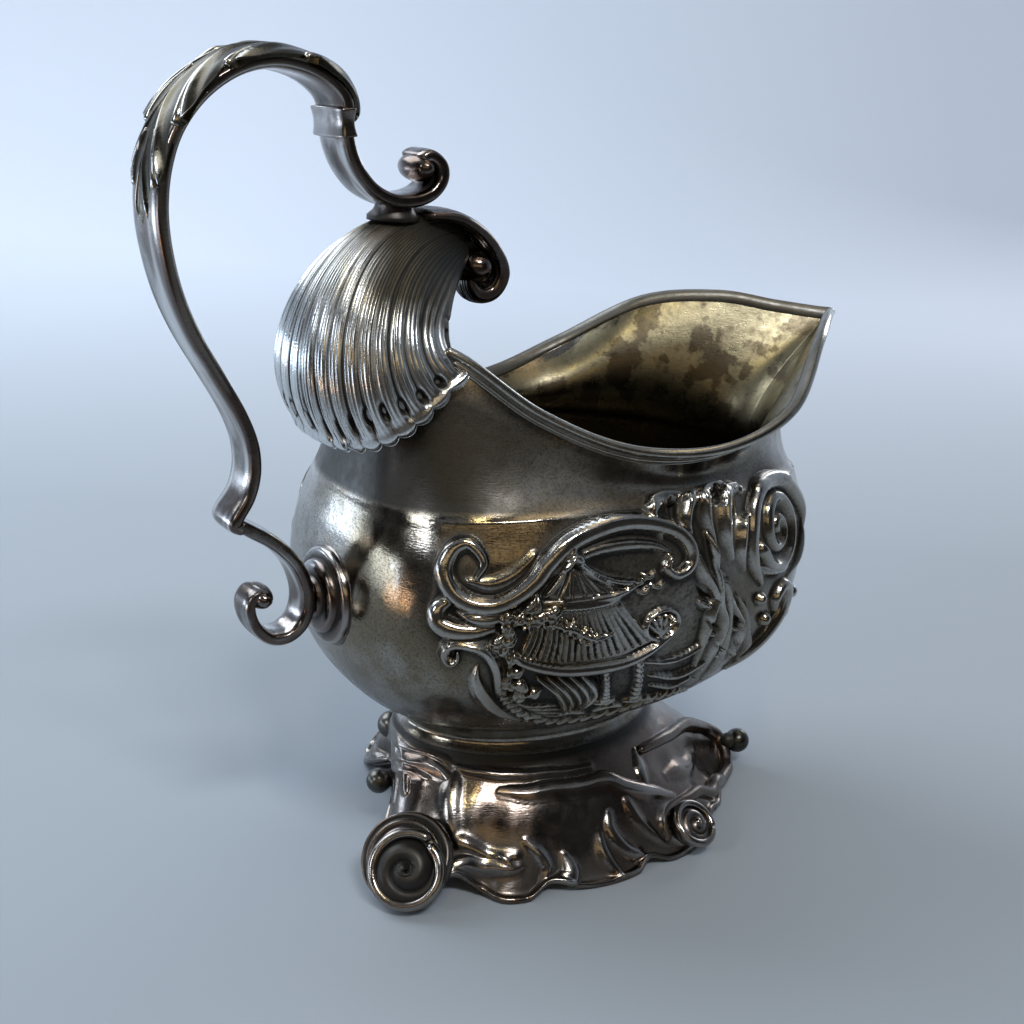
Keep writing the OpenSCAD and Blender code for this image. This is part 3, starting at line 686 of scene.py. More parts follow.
def body_pieces():
    """The outer skin, with a gap on each side for the chased panel, and the inside wall."""
    angles = np.arange(0, 360, BODY_STEP)
    levels = np.arange(FLOOR_LEVEL, MOUTH_LEVEL + 0.01, 0.5)
    outer = skin(angles[None, :], levels[:, None])
    middle = (angles + BODY_STEP / 2 + 180) % 360 - 180
    middle_level = (levels[:-1] + levels[1:]) / 2
    side = (np.abs(middle) > PANEL_ANGLES[0]) & (np.abs(middle) < PANEL_ANGLES[1])
    height = (middle_level > PANEL_LEVELS[0]) & (middle_level < PANEL_LEVELS[1])
    keep = ~(height[:, None] & side[None, :])
    shape = Shape()
    # grime and painted shade in the crease over the collar; painted shade in the neck and under the belly
    grime_and_shade = 0.25 * hump(levels[:, None], FLOOR_LEVEL, 1.2) + neck_and_belly_shade(angles[None, :], levels[:, None])
    shape.grid(outer, grime_and_shade=grime_and_shade, wrap_columns=True, keep=keep)
    shape.strip_between(outer[-1], lining(angles, levels[-1:])[0], 4, 0.0, wrap_columns=True)
    piece("body", shape, worn, "worn_silver", "body")

    low_rows = np.arange(25.2, SHOULDER, 1.2)
    rows = np.concatenate([low_rows, np.arange(SHOULDER, MOUTH_LEVEL + 0.1, 1.0)])
    well = lining(angles, rows[:, None])
    shape = Shape().grid(well, grime_and_shade=0.0, wrap_columns=True, flip=True)
    share = np.linspace(0.02, 1, 24)[:, None, None]
    base = well[:1] * share + np.array([MID_X, 0, rows[0] + 0.3]) * (1 - share)
    shape.grid(base, grime_and_shade=0.1, wrap_columns=True, flip=True)
    piece("body_inside", shape, inside, "worn_silver", "body")


def lining(angles, levels):
    """The inner surface of the body sheet."""
    p = skin(angles[None, :], levels)
    centre = np.stack([MID_X + 0 * p[..., 2], 0 * p[..., 2], np.minimum(p[..., 2], 42)], -1)
    return p - WALL * unit(p - centre)


# degrees from the spout to each end of the rim, and its half width
RIM_REACH = 141
RIM_HALF = 1.35


def rim_piece():
    """Drawn wire with three beads, tapered at its ends under the hood."""
    angles = np.linspace(-RIM_REACH, RIM_REACH, 720)
    edge = mouth(angles)
    step = unit(mouth(angles + 0.5) - mouth(angles - 0.5))
    rise = unit(neck(1.0, angles) - neck(0.93, angles))
    out = unit(np.cross(step, rise))
    high = np.cross(out, step)
    y = np.linspace(-1, 1, 25)
    bead = np.maximum(0.95 * dome((y - 0.42) / 0.58), 0.62 * dome((y + 0.45) / 0.36))
    bead = np.maximum(bead, 0.5 * dome((y + 0.86) / 0.14))
    face = np.column_stack([0.1 + 0.95 * bead, RIM_HALF * y])
    back = np.column_stack([-0.75 * dome(y[::-1] * 0.98), RIM_HALF * y[::-1]])
    section = np.vstack([face, back[1:-1]])
    draw = np.sqrt(held((RIM_REACH - np.abs(angles)) / 1.5))
    points = (
        edge[:, None]
        + out[:, None] * (section[:, 0] * draw[:, None])[..., None]
        + high[:, None] * ((section[:, 1] - 0.2) * draw[:, None])[..., None]
    )
    across = section[:, 1] / RIM_HALF
    # grime and painted shade in the grooves between the beads and over the back of the wire
    groove = (hump(across, -0.1, 0.09) + hump(across, -0.74, 0.07)) * (section[:, 0] > 0)
    grime_and_shade = 0.8 * groove + 0.6 * (section[:, 0] < 0) - 0.05
    shape = Shape().grid(points, grime_and_shade=grime_and_shade[None, :], wrap_columns=True, flip=True)
    piece("rim_moulding", shape, rim_metal, "bright_silver", "rim_moulding")


COLLAR_THICK = 1.5


def collar_piece():
    """The concave band between the body and the foot."""
    angles = np.arange(0, 360, 1.0)
    levels = np.linspace(SEAM, COLLAR_TOP, 26)
    outer = belly(levels[:, None], angles[None, :])
    inner = outer[::-1] - COLLAR_THICK * unit(outer[::-1] * np.array([1, 1, 0]))
    # grime and painted shade in the creases where it meets the foot and the body, and on the hidden inner
    # face
    edge = 0.7 * hump(levels, SEAM, 0.5) + 0.5 * hump(levels, COLLAR_TOP, 0.5)
    grime_and_shade = np.concatenate([edge, 0.3 + 0 * edge])[:, None]
    shape = Shape().grid(np.concatenate([outer, inner]), grime_and_shade=grime_and_shade, wrap_rows=True, wrap_columns=True)
    piece("collar", shape, worn, "worn_silver", "collar")


# ---------------------------------------------------------------- chased panels

def scroll_border(panel):
    """The C and S scrolls that frame the scene."""
    panel.stroke([
        [135.5, 55.2, 0.5, 0.9], [134.2, 56.6, 0.8, 1.1], [136, 58, 1, 1.3], [139, 58.8, 1.2, 1.5],
        [142.6, 58, 1.4, 1.6], [144.2, 55.8, 1.5, 1.7], [141.5, 53.4, 1.5, 1.7],
        [136.5, 51.9, 1.5, 1.6], [130.5, 51.7, 1.4, 1.5], [125.5, 52.9, 1.4, 1.6],
        [122, 54.5, 1.5, 1.7], [119.5, 56.4, 1.6, 1.7], [115.5, 58.3, 1.7, 1.8],
        [109.5, 59.5, 1.7, 1.8], [104, 59.8, 1.6, 1.8], [98.5, 59.2, 1.5, 1.7], [94.2, 57.9, 1.4, 1.7],
        [92, 55.8, 1.3, 1.6], [92.4, 53.8, 1.1, 1.5], [94.6, 53, 0.9, 1.4], [96.4, 54, 0.8, 1.3],
        [96, 55.2, 0.6, 1.2],
    ], cove, count=160)
    panel.stroke([
        [137.5, 54.6, 0.8, 0.4], [131.5, 54.2, 1.6, 0.5], [126.5, 55.2, 1.6, 0.5],
        [122.5, 57.2, 1.2, 0.4],
    ], swell, count=40, mode="over")
    panel.stroke([
        [120, 54.6, 0.6, 0.3], [116, 56.3, 1.1, 0.6], [110, 57.4, 1.2, 0.7], [104, 57.6, 1.2, 0.7],
        [98.5, 57, 0.9, 0.5], [95.4, 55.8, 0.5, 0.3],
    ], lip_left, count=50)
    panel.stroke([
        [141.5, 52.4, 0.8, 0.8], [144.6, 51.2, 1.4, 1.7], [144.6, 49.6, 1.6, 2], [141, 48.6, 1.7, 1.9],
        [135.5, 48.4, 1.4, 1.5], [130.8, 48.8, 0.8, 0.8],
    ], count=60)
    panel.stroke([
        [139.5, 50.9, 0.5, 0.5], [135.5, 50.2, 1.1, 1.5], [131, 50, 1, 1.2], [127.5, 50.6, 0.5, 0.5],
    ], count=30)
    panel.stroke([
        [138.6, 45.4, 0.5, 1], [138.8, 44.2, 0.7, 1.2], [141, 43.6, 0.9, 1.4], [142.8, 45, 1.1, 1.5],
        [141.4, 46.5, 1.3, 1.6], [138, 46.9, 1.4, 1.6], [133.5, 46.5, 1.5, 1.7],
        [130.5, 45.2, 1.4, 1.6], [128.6, 42.8, 1.3, 1.4], [128, 39.4, 1.1, 1.1],
    ], lip_left, count=70)
    panel.stroke([
        [133.8, 43.4, 0.3, 0.4], [134.4, 41, 1.2, 1.2], [132.4, 37.8, 1.6, 1.5],
        [128.4, 34.6, 1.3, 1.2], [122.5, 31.6, 0.4, 0.4],
    ], lip, count=50)
    panel.stroke([
        [128, 39.2, 1, 1], [126, 36.8, 1.1, 1], [122.5, 33.8, 1.1, 1], [115, 31.2, 1.1, 1],
        [107, 30.9, 1.1, 1], [99, 31.6, 1.1, 1], [92.5, 33, 1.2, 1.1], [86, 33, 1, 0.9],
        [80, 31.8, 0.5, 0.5],
    ], count=90, veins=22, vein_deep=0.45)


def pavilion(panel):
    """A generic garden pavilion with a tiled roof, a railing, two posts and a garland."""
    panel.region([
        (114.6, 57), (119.8, 52.4), (116, 51.6), (105, 51.6), (100.8, 52.8), (108, 54.4),
    ], 0.75, 0.3)
    panel.region([
        (121, 50.9), (104.4, 50.9), (97.4, 44.4), (103, 42.6), (116, 42.8), (124, 44.6),
    ], 0.85, 0.3)
    panel.stroke([
        [119.8, 52.3, 0.4, 0.3], [116.8, 54.6, 0.55, 0.6], [114.4, 57, 0.7, 0.8], [111, 55, 0.6, 0.7],
        [107, 53.6, 0.55, 0.6], [100.8, 52.8, 0.4, 0.4],
    ], count=50, mode="over")
    for share in np.linspace(0.14, 0.86, 6):
        foot_a, foot_b = 119 - 17.5 * share, 52.2 + 0.4 * abs(share - 0.5)
        half_way = [(114.2 + foot_a) / 2, 54.2, 0.26, 0.4]
        panel.stroke([
            [114.3, 56, 0.2, 0.2], half_way, [foot_a, foot_b, 0.26, 0.4],
        ], count=16, mode="cut")
    panel.stroke([
        [121, 51.7, 0.5, 0.4], [116, 51.2, 0.8, 0.8], [110, 51.1, 0.9, 0.9], [104.5, 51.6, 0.8, 0.9],
        [99.4, 53.2, 0.4, 0.5],
    ], count=40, mode="over")
    for i, share in enumerate(np.linspace(0.04, 0.96, 19)):
        top = [121.2 - 17 * share, 50.5]
        low = [124 - 26.4 * share, 45 - 1.4 * math.sin(math.pi * share)]
        mid = [(top[0] + low[0]) / 2 - 0.4, (top[1] + low[1]) / 2 - 0.4]
        deep = 0.35 + 0.2 * ((i * 7) % 3)
        panel.stroke([[*top, 0.2, 0.2], [*mid, 0.24, deep], [*low, 0.26, deep]], count=14, mode="cut")
    panel.stroke([
        [127, 46, 0.4, 0.6], [123.5, 44, 0.8, 1.2], [116, 42.4, 1, 1.5], [109, 41.9, 1.1, 1.6],
        [103, 42, 1, 1.5], [98.6, 43, 0.8, 1.3], [94.6, 44.8, 0.4, 0.8],
    ], count=50)
    for top, low in (((106, 41.8), (104, 34.8)), ((99.6, 42.4), (97.4, 34))):
        half_way = [(top[0] + low[0]) / 2, (top[1] + low[1]) / 2, 0.75, 1.2]
        panel.stroke([[*top, 0.8, 1.2], half_way, [*low, 1, 1.1]], count=30, veins=9, vein_deep=0.45)
        a, b = low
        panel.stroke([
            [a + 2, b - 0.3, 0.5, 0.6], [a, b, 0.9, 1.1], [a - 2, b - 0.2, 0.5, 0.6],
        ], swell, count=14)
    for i in range(5):
        panel.stroke([
            [112.6 - 0.9 * i, 33.2, 0.4, 0.6], [113.2 - 1.5 * i, 36 + 0.2 * i, 0.85, 1.6],
            [115.4 - 1.9 * i, 38.8, 0.85, 1.6], [119.4 - 2.2 * i, 41, 0.35, 0.6],
        ], lip, count=30)
    for i in range(4):
        panel.stroke([
            [127 - 2.1 * i, 38.2 - 1.2 * i, 0.3, 0.3], [122 - 1.6 * i, 36 - 0.9 * i, 0.45, 0.6],
            [114.5 - i, 35.2 - 1.1 * i, 0.3, 0.3],
        ], count=24)
    for start, width in ((122.5, 5), (114, 6), (105, 6), (97, 5)):
        panel.stroke([
            [start, 32.2, 0.4, 0.4], [start - 0.35 * width, 33.6, 0.6, 1],
            [start - 0.8 * width, 33, 0.6, 0.9], [start - 1.2 * width, 31.8, 0.3, 0.3],
        ], lip, count=20)


def garland(panel):
    """Leaves and small flowers tied round the left end of the pavilion and over its roof."""
    trail = curve([[118.5, 49.9], [121.5, 50.8], [124.8, 50.6], [127.2, 49], [127.8, 46.4], [126.4, 43.8],
                   [125.6, 41.2], [124, 39.2], [121.6, 38]], 15)
    for i, (a, b) in enumerate(trail):
        turn = 0.9 * i
        for k in range(2):
            t = turn + 2.6 * k
            da, db = 3.4 * math.cos(t), 2.1 * math.sin(t)
            leaf = [[a, b, 0.4, 0.7], [a + 0.5 * da, b + 0.5 * db, 1.1, 1.2], [a + da, b + db, 0.3, 0.5]]
            panel.stroke(leaf, count=10)
            vein = [[x, y, 0.25 * wide, 0.22 * high] for x, y, wide, high in leaf]
            panel.stroke(vein, count=8, mode="cut")
    for a, b in ((119.8, 49.6), (117, 49.4), (114, 48.4), (111.6, 47.2), (122.6, 49.2), (109.5, 46.6)):
        for k in range(5):
            t = 1.257 * k + a
            tip = [a + 1.3 * math.cos(t), b + 0.95 * math.sin(t), 0.45, 1.25]
            panel.stroke([[a, b, 0.3, 1.1], tip], swell, count=8)
    panel.stroke([
        [118, 49, 0.4, 1], [113.5, 48, 0.5, 1.2], [109, 46.4, 0.5, 1.2], [105.6, 46.6, 0.3, 0.8],
    ], count=24)


def garden(panel):
    """The round bush, its ground, distant birds and rocks right of the pavilion."""
    ring = [[96.3 + 2.9 * math.cos(t), 46.6 + 2.1 * math.sin(t), 0.4, 0.7] for t in np.linspace(0, 6.2, 14)]
    panel.stroke(ring, count=60)
    for t in np.linspace(0.4, 2.7, 6):
        tip = [96.3 + 2.4 * math.cos(t), 46.2 + 1.7 * math.sin(t), 0.3, 0.8]
        panel.stroke([[96.3, 44.9, 0.25, 0.5], tip], count=8)
    for a, b in ((99.5, 53.2), (97.8, 51.8), (100.4, 51.4)):
        panel.stroke([
            [a + 1, b + 0.5, 0.2, 0.4], [a, b, 0.4, 0.8], [a - 1.2, b + 0.6, 0.2, 0.4],
        ], count=10)
    panel.stroke([
        [98, 41, 0.4, 0.3], [93, 40.4, 0.7, 0.8], [87.5, 41.6, 0.7, 0.8], [84.6, 42.4, 0.3, 0.3],
    ], keel, count=26)
    panel.stroke([
        [96, 38.2, 0.4, 0.3], [90.5, 37, 0.8, 0.9], [84.5, 38.2, 0.8, 0.8], [82, 39, 0.3, 0.3],
    ], keel, count=26)
    panel.stroke([[95, 36, 0.3, 0.3], [90, 34.8, 0.7, 0.8], [85, 35.4, 0.5, 0.5]], keel, count=20)


def leaves(panel):
    """The cut leaves above the scene, between the border and the front flower."""
    curls = [
        [[97.5, 57.6, 0.6, 0.6], [99.2, 60.6, 1.4, 1.4], [97.4, 63.4, 1.6, 1.8], [93.6, 63.6, 1.3, 1.5],
         [92, 61.8, 0.8, 1]],
        [[91.6, 56.4, 0.6, 0.6], [92.8, 59.2, 1.4, 1.6], [91, 61.9, 1.5, 1.8], [88.2, 62, 1, 1.2]],
        [[86.4, 55.6, 0.7, 0.7], [88.6, 59.8, 1.7, 1.9], [87, 63.8, 1.8, 2.1], [83, 65.2, 1.4, 1.6],
         [80.6, 63.8, 0.8, 1]],
        [[81.4, 53.6, 0.7, 0.7], [83.8, 57.4, 1.7, 2], [82.4, 61.2, 1.8, 2.1], [78.4, 62.8, 1.4, 1.6],
         [76, 61.6, 0.8, 1]],
        [[77.6, 51.6, 0.6, 0.6], [79.4, 54.6, 1.4, 1.7], [78.2, 57.6, 1.4, 1.7],
         [75.6, 58.4, 0.8, 0.9]],
    ]
    for curl in curls:
        panel.stroke(curl, lip_left, count=50)
    for a, b in ((94.6, 60), (84, 61.4), (79.4, 59.8)):
        panel.stroke([[a, b - 0.8, 0.7, 0.8], [a, b + 0.8, 0.9, 1]], count=8, mode="cut")


def flower(panel):
    """The spiral flower at the front with the strap that curls round it."""
    centre_a, centre_b = 63.6, 55.6
    spiral = []
    for i in range(30):
        t = 0.42 * i
        r = 0.25 + 0.185 * i
        a, b = centre_a + r * math.cos(t) / 0.72, centre_b + 0.95 * r * math.sin(t)
        spiral.append([a, b, 1.1 + 0.03 * i, 0.8 + 0.03 * i])
    panel.stroke(spiral, lip, count=200)
    panel.stroke([
        [42.5, 53.2, 0.6, 0.6], [45.5, 55.8, 1.2, 1.3], [51, 58.8, 1.5, 1.7], [58.5, 61.3, 1.6, 1.9],
        [66.5, 61.6, 1.6, 1.9], [72.4, 59.6, 1.5, 1.8], [75, 56, 1.4, 1.6], [74.4, 52, 1.2, 1.4],
        [71, 49, 0.7, 0.7],
    ], cove, count=90)
    panel.stroke([
        [75.6, 52.4, 0.5, 0.6], [72, 50.8, 1.3, 1.5], [67.4, 50, 1.5, 1.7], [62.6, 49.8, 1.3, 1.5],
        [58.6, 50.6, 0.6, 0.6],
    ], lip, count=40)
    panel.stroke([
        [57, 47.6, 0.4, 0.4], [52, 49.4, 1.2, 1.2], [48, 52, 1.2, 1.2], [45.6, 55, 0.5, 0.5],
    ], keel, count=30)


def drapery(panel):
    """A plain fall of drapery that closes the scene at the front, with the scroll below it."""
    folds = [
        [[91.4, 56, 0.5, 0.6], [88.8, 53, 1.1, 1.5], [87, 50, 1.2, 1.7], [86.2, 46.4, 1.1, 1.6],
         [86.4, 42, 0.9, 1.2], [87, 38.4, 0.4, 0.4]],
        [[89, 55, 0.6, 0.7], [86.4, 52, 1.2, 1.8], [84.6, 48.6, 1.3, 1.9], [83.6, 44.6, 1.3, 1.8],
         [83.2, 40, 1.1, 1.4], [82.6, 35.6, 0.4, 0.4]],
        [[86.4, 53.4, 0.5, 0.6], [83.8, 50.2, 1.2, 1.7], [81.8, 46.6, 1.3, 1.8], [80.4, 42.4, 1.3, 1.7],
         [79.4, 37.8, 1, 1.2], [78, 34, 0.4, 0.4]],
        [[83.6, 50.6, 0.5, 0.6], [80.4, 47.4, 1.1, 1.5], [77.4, 44, 1.2, 1.6], [75.2, 40.4, 1.1, 1.4],
         [73.4, 36.6, 0.4, 0.4]],
        [[80, 48, 0.4, 0.5], [76.2, 45.6, 1.1, 1.4], [72.4, 42.4, 1.2, 1.5], [69.4, 38.6, 1, 1.1],
         [68, 35.4, 0.4, 0.4]],
    ]
    for i, (sway, fold) in enumerate(zip((0.9, -0.7, 0.5, -1.1, 0.8), folds)):
        bent = []
        for k, (a, b, wide, high) in enumerate(fold):
            a, b = a + sway * math.sin(2.2 * k + i), b + 0.5 * math.cos(1.7 * k)
            bent.append([a, b, wide * (0.8 + 0.3 * (k % 2)), high])
        panel.stroke(bent, lip if i % 2 else keel, count=50)
    for a, b in ((88.4, 49.4), (85.6, 44.8), (81.6, 40.6), (84.4, 51.6), (78.2, 44.4), (74.6, 39.6)):
        panel.stroke([
            [a + 1.8, b + 1.4, 0.2, 0.2], [a, b, 0.5, 1], [a - 2.2, b - 0.5, 0.2, 0.2],
        ], keel, count=12, mode="cut")
        panel.stroke([
            [a + 1.4, b - 0.6, 0.3, 0.3], [a - 0.4, b - 1.4, 0.8, 1.1], [a - 2, b - 1.3, 0.3, 0.3],
        ], lip, count=12)
    panel.stroke([
        [88.6, 57.4, 0.6, 0.8], [87.4, 55.4, 1.2, 2.1], [86.6, 53.2, 0.9, 1.6],
    ], swell, count=20)
    panel.stroke([
        [69.5, 34, 0.5, 0.5], [65.4, 36.2, 1.3, 1.3], [60.6, 38.8, 1.6, 1.7], [57, 42.2, 1.7, 1.8],
        [57, 45.4, 1.5, 1.7], [60.2, 46.8, 1.2, 1.5], [62.8, 45.2, 0.9, 1.3], [61.8, 43.4, 0.6, 1],
    ], cove, count=70)
    for a, b, r in ((53, 41, 1.5), (50.4, 43.8, 1.1), (66, 42.4, 1.1), (70.6, 46.4, 1)):
        panel.stroke([[a, b, r, 1.5], [a - 0.2, b + 0.2, r, 1.5]], count=6)


GROUND = [
    (133, 50), (126, 51.4), (121.5, 53.2), (118, 56), (113, 57.6), (106, 58.4), (99, 57.6), (96, 53),
    (91, 53), (89, 50), (87, 44), (85, 38), (84, 34.4), (92, 33.6), (99, 32.4), (107, 31.8), (115, 32.4),
    (122, 34.8), (126.4, 38), (127.4, 43), (130, 46.8),
]


def panel_pieces():
    """The chased panel of each side; the left one is the right one mirrored, lower at the back."""
    for hand, word in ((-1, "right"), (1, "left")):
        first = (-PANEL_ANGLES[1], -PANEL_ANGLES[0]) if hand < 0 else PANEL_ANGLES
        panel = Relief(skin, first, PANEL_LEVELS, PANEL_GRID)
        draw = Handed(panel, hand)
        ground = draw.region(GROUND, -0.35)
        scroll_border(draw)
        pavilion(draw)
        garland(draw)
        garden(draw)
        leaves(draw)
        flower(draw)
        drapery(draw)
        low = held((0.15 - panel.height) / 0.2)
        panel.mat(ground * low, 0.13, (130, 300))
        a, b = np.abs(panel.a)[None, :], panel.b[:, None]
        edge = held((a - PANEL_ANGLES[0]) / 3) * held((PANEL_ANGLES[1] - a) / 2)
        edge = edge * held((b - PANEL_LEVELS[0]) / 0.8) * held(PANEL_LEVELS[1] - b)
        panel.height *= edge**2 * (3 - 2 * edge)
        if hand > 0:
            panel.height *= 1 - 0.65 * held((a - 124) / 14)
        # painted shade in the neck and under the belly, added to the grime and painted shade of the chasing
        # and a darker matted ground
        painted_shade = neck_and_belly_shade(panel.a[None, :], panel.b[:, None])
        grime_and_shade = panel.grime_and_shade(2.2, 9.0, 1.5) + 0.2 * ground * low + painted_shade
        shape = Shape().grid(panel.solid(), grime_and_shade=grime_and_shade)
        piece(
            "chased_panel_" + word, shape, chased, "cast_silver",
            "cartouche_" + word, "pavilion_" + word, "rosette_" + word, "body",
        )


class Handed:
    """Draws strokes given for the left side on either side of the body."""

    def __init__(self, relief, hand):
        self.relief, self.hand = relief, hand

    def turn(self, points):
        points = np.array(points, float)
        points[:, 0] *= self.hand
        return points

    def stroke(self, points, profile=dome, **more):
        shaped = (lambda x: profile(-x)) if self.hand < 0 else profile
        self.relief.stroke(self.turn(points), shaped, **more)

    def region(self, corners, depth, soften=0.5):
        return self.relief.region(self.turn(corners), depth, soften)


# ---------------------------------------------------------------- shell hood

RIBS = 19
HOOD_GRID = (190, 460)
HOOD_THICK = 1.2


def hood_sheet(rows, columns):
    """Shares down and across the hood, with its plain surface and the direction out of it."""
    u = np.linspace(0, 1, rows)[:, None]
    v = np.linspace(-1, 1, columns)[None, :]
    points = hood(u, v)
    out = unit(np.cross(np.gradient(points, axis=1), np.gradient(points, axis=0)))
    return u, v, points, out * -np.sign(out[rows // 2, columns // 2, 0])


def hood_piece():
    """The shell: broad grooves that start at different heights, each rib reeded and roped."""
    rows, columns = HOOD_GRID
    u, v, p, out = hood_sheet(rows, columns)
    drift = lattice_noise((rows, columns), (3, 9))
    phase = RIBS * (v + 1) / 2 + 0.10 * drift
    rib = phase - np.floor(phase)
    lobe = np.abs(np.sin(math.pi * phase))
    groove = np.floor(phase + 0.5)
    begin = 0.05 + 0.36 * (0.5 + 0.5 * np.sin(4.1 * groove + 1))
    grow = np.clip((u - begin) / 0.5, 0.12, 1) * (0.4 + 0.6 * (0.5 + 0.5 * np.sin(2.4 * groove)))
    close = held((0.965 - u) / 0.05)
    broad = (1.15 + 0.25 * drift) * (lobe**0.34 - 1 + 0.35 * (rib - 0.5)) * grow * (0.25 + 0.75 * close)
    reed = np.cos(2 * math.pi * 4 * phase + 0.6 * drift)
    rope = np.sin(2 * math.pi * (90 * u + phase))
    fine = 0.07 * reed * held(0.5 + u) + 0.04 * rope * (reed > 0.1)
    pit_at = 0.905 + 0.02 * np.sin(5.3 * np.floor(phase + 0.5))
    drop = hump(u, pit_at, 0.028) * held(1.35 - lobe * 1.9) ** 0.7
    height = broad + fine * close - 1.15 * drop
    roll = 0.45 * hump(u, 0.98, 0.018)
    top = p + out * (height + roll)[..., None]
    hem = held((u - 0.92) / 0.08) ** 2 * (0.9 * lobe**0.8 - 0.3)
    top += unit(np.gradient(p, axis=0)) * hem[..., None]
    # grime and painted shade in the grooves, the pits and between the ribs, polish and painted highlight on
    # the ridges; random patches of grime; darker towards the top and at both sides
    grime_and_shade = 2.2 * (blur(height, (1.5, 2.5)) - height) + 1.2 * (blur(height, (3, 7)) - height)
    grime_and_shade += 1.6 * drop + 0.5 * held(1 - 1.7 * u) + 0.12 * (1 - reed) * held(1.2 - u)
    grime_and_shade += 0.7 * held(1 - lobe * 3.2) * grow * close
    grime_and_shade += 0.4 * held(lattice_noise((rows, columns), (7, 17)) - 0.1)
    grime_and_shade += 0.5 * held((np.abs(v) - 0.5) / 0.4) * held(1.25 - 1.1 * u)
    shape = Shape().grid(top, grime_and_shade=grime_and_shade, flip=flips(top, out))
    under, normal = hood_sheet(40, 120)[2:]
    under = under - normal * HOOD_THICK
    shape.grid(under, grime_and_shade=0.35, flip=not flips(under, normal))
    for outer, inner in ((top, under), (top.swapaxes(0, 1), under.swapaxes(0, 1))):
        for end in (0, -1):
            place = np.linspace(0, 1, outer.shape[1])
            coarse = np.linspace(0, 1, inner.shape[1])
            matched = np.column_stack([np.interp(place, coarse, inner[end, :, k]) for k in range(3)])
            shape.strip_between(outer[end], matched, 5, 0.1)
    piece("shell_hood", shape, fluted, "bright_silver", "shell_hood")


def flips(points, out):
    """True if a grid's faces look away from the wanted side."""
    i, j = points.shape[0] // 2, points.shape[1] // 2
    face = np.cross(points[i, j + 1] - points[i, j], points[i + 1, j] - points[i, j])
    return bool(face @ out[i, j] < 0)


VOLUTE = [
    [-27.4, 0, 107, 0.9, 4.4], [-22, 0, 106.6, 1.2, 5], [-17.4, 0, 104.4, 1.4, 4.6], [-14, 0, 101.4, 1.5, 4],
    [-12.2, 0, 98, 1.6, 3.5], [-13.4, 0, 95.2, 1.6, 3.2], [-16, 0, 94.6, 1.4, 3], [-17.8, 0, 96.6, 1, 2.8],
    [-17, 0, 99, 0.9, 2.8],
]


VOLUTE_REEDS = 5
# X, Z of the outline of the web inside the roll
VOLUTE_WEB = [
    [-20.6, 103.4], [-17, 102.6], [-14.6, 99.6], [-14, 97], [-15.2, 95.6], [-17.4, 96.4], [-18.6, 98.6],
]


def strap_section(power=0.55, edge=0.0, reeds=0, reed_deep=0.0):
    """A flat strap with soft edges; edge raises its borders and reeds cut lines along it."""
    def section(phi, s):
        lift, spread = soft(np.cos(phi), power), soft(np.sin(phi), power)
        side = np.abs(np.sin(phi))
        lift = lift * (1 + edge * side**6)
        if reeds:
            lift = lift * (1 - reed_deep * (0.5 + 0.5 * np.cos(2 * math.pi * reeds * spread)))
        return lift + 0 * s, spread + 0 * s
    return section


def volute_grime_and_shade(phi, s, place):
    """Dark lines of grime and painted shade between the reeds of the roll, with polish and painted highlight
    on the reeds.
    """
    return 0.12 + 0.3 * np.cos(2 * math.pi * VOLUTE_REEDS * soft(np.sin(phi), 0.7)) + 0 * s


def volute_piece():
    """The roll at the front of the hood, with its web and eye."""
    shape = Shape()
    path = curve(VOLUTE, 200)
    shape.bar(path, strap_section(0.8, 0.1, VOLUTE_REEDS, 0.12), around=96, grime_and_shade=volute_grime_and_shade)
    web = np.array(VOLUTE_WEB)
    for y, flip in ((-1.3, False), (1.3, True)):
        edge = np.stack([web[:, 0], y + 0 * web[:, 0], web[:, 1]], -1)
        shape.strip_between(edge.mean(0) + 0 * edge, edge, 6, 0.8, wrap_columns=True, flip=flip)
    shape.ball((-16.8, 0, 99), 3.0, 1.5, "y", -0.05)
    piece("hood_volute", shape, strap_metal, "bright_silver", "hood_volute")


# ---------------------------------------------------------------- handle

STRAP_THICK, STRAP_WIDE, LEAF_WIDE = 2.2, 10.0, 14.0
# X, Z, share of the half thickness, share of the half width
STRAP = [
    [-41, 119, 1, 0.92], [-41.5, 122.6, 1, 0.96], [-44, 125, 1, 1], [-48, 126.6, 1, 1], [-53, 127, 1, 1.05],
    [-58, 125.6, 1, 1.1], [-62.6, 122.4, 1, 1.1], [-66, 118, 1, 1.1], [-67.7, 113, 1, 1.05],
    [-68.2, 107.5, 1, 1],
    [-67.6, 102, 1, 0.96], [-66, 96, 1, 0.92], [-63.5, 90.4, 1, 0.88], [-60, 84.5, 1, 0.84],
    [-56.8, 79, 1, 0.8],
    [-54.9, 74.4, 1, 0.78], [-54.4, 70.2, 1, 0.76], [-55.2, 66.4, 1, 0.76], [-57.2, 63.2, 1, 0.8],
    [-57.4, 61.9, 0.9, 0.76], [-55.6, 61.1, 0.9, 0.74],
]
UPPER = [
    [-41.2, 121, 0.9, 0.86], [-40.8, 117.6, 0.95, 0.86], [-39.4, 114, 1, 0.84], [-36.6, 110.8, 1, 0.82],
    [-33, 109.1, 1, 0.8], [-29.4, 109, 1, 0.8], [-26.4, 110, 1, 0.78], [-24.6, 112, 1, 0.76],
    [-24.7, 114.2, 1, 0.74], [-26.6, 115.5, 0.95, 0.7], [-28.4, 114.6, 0.9, 0.66],
]
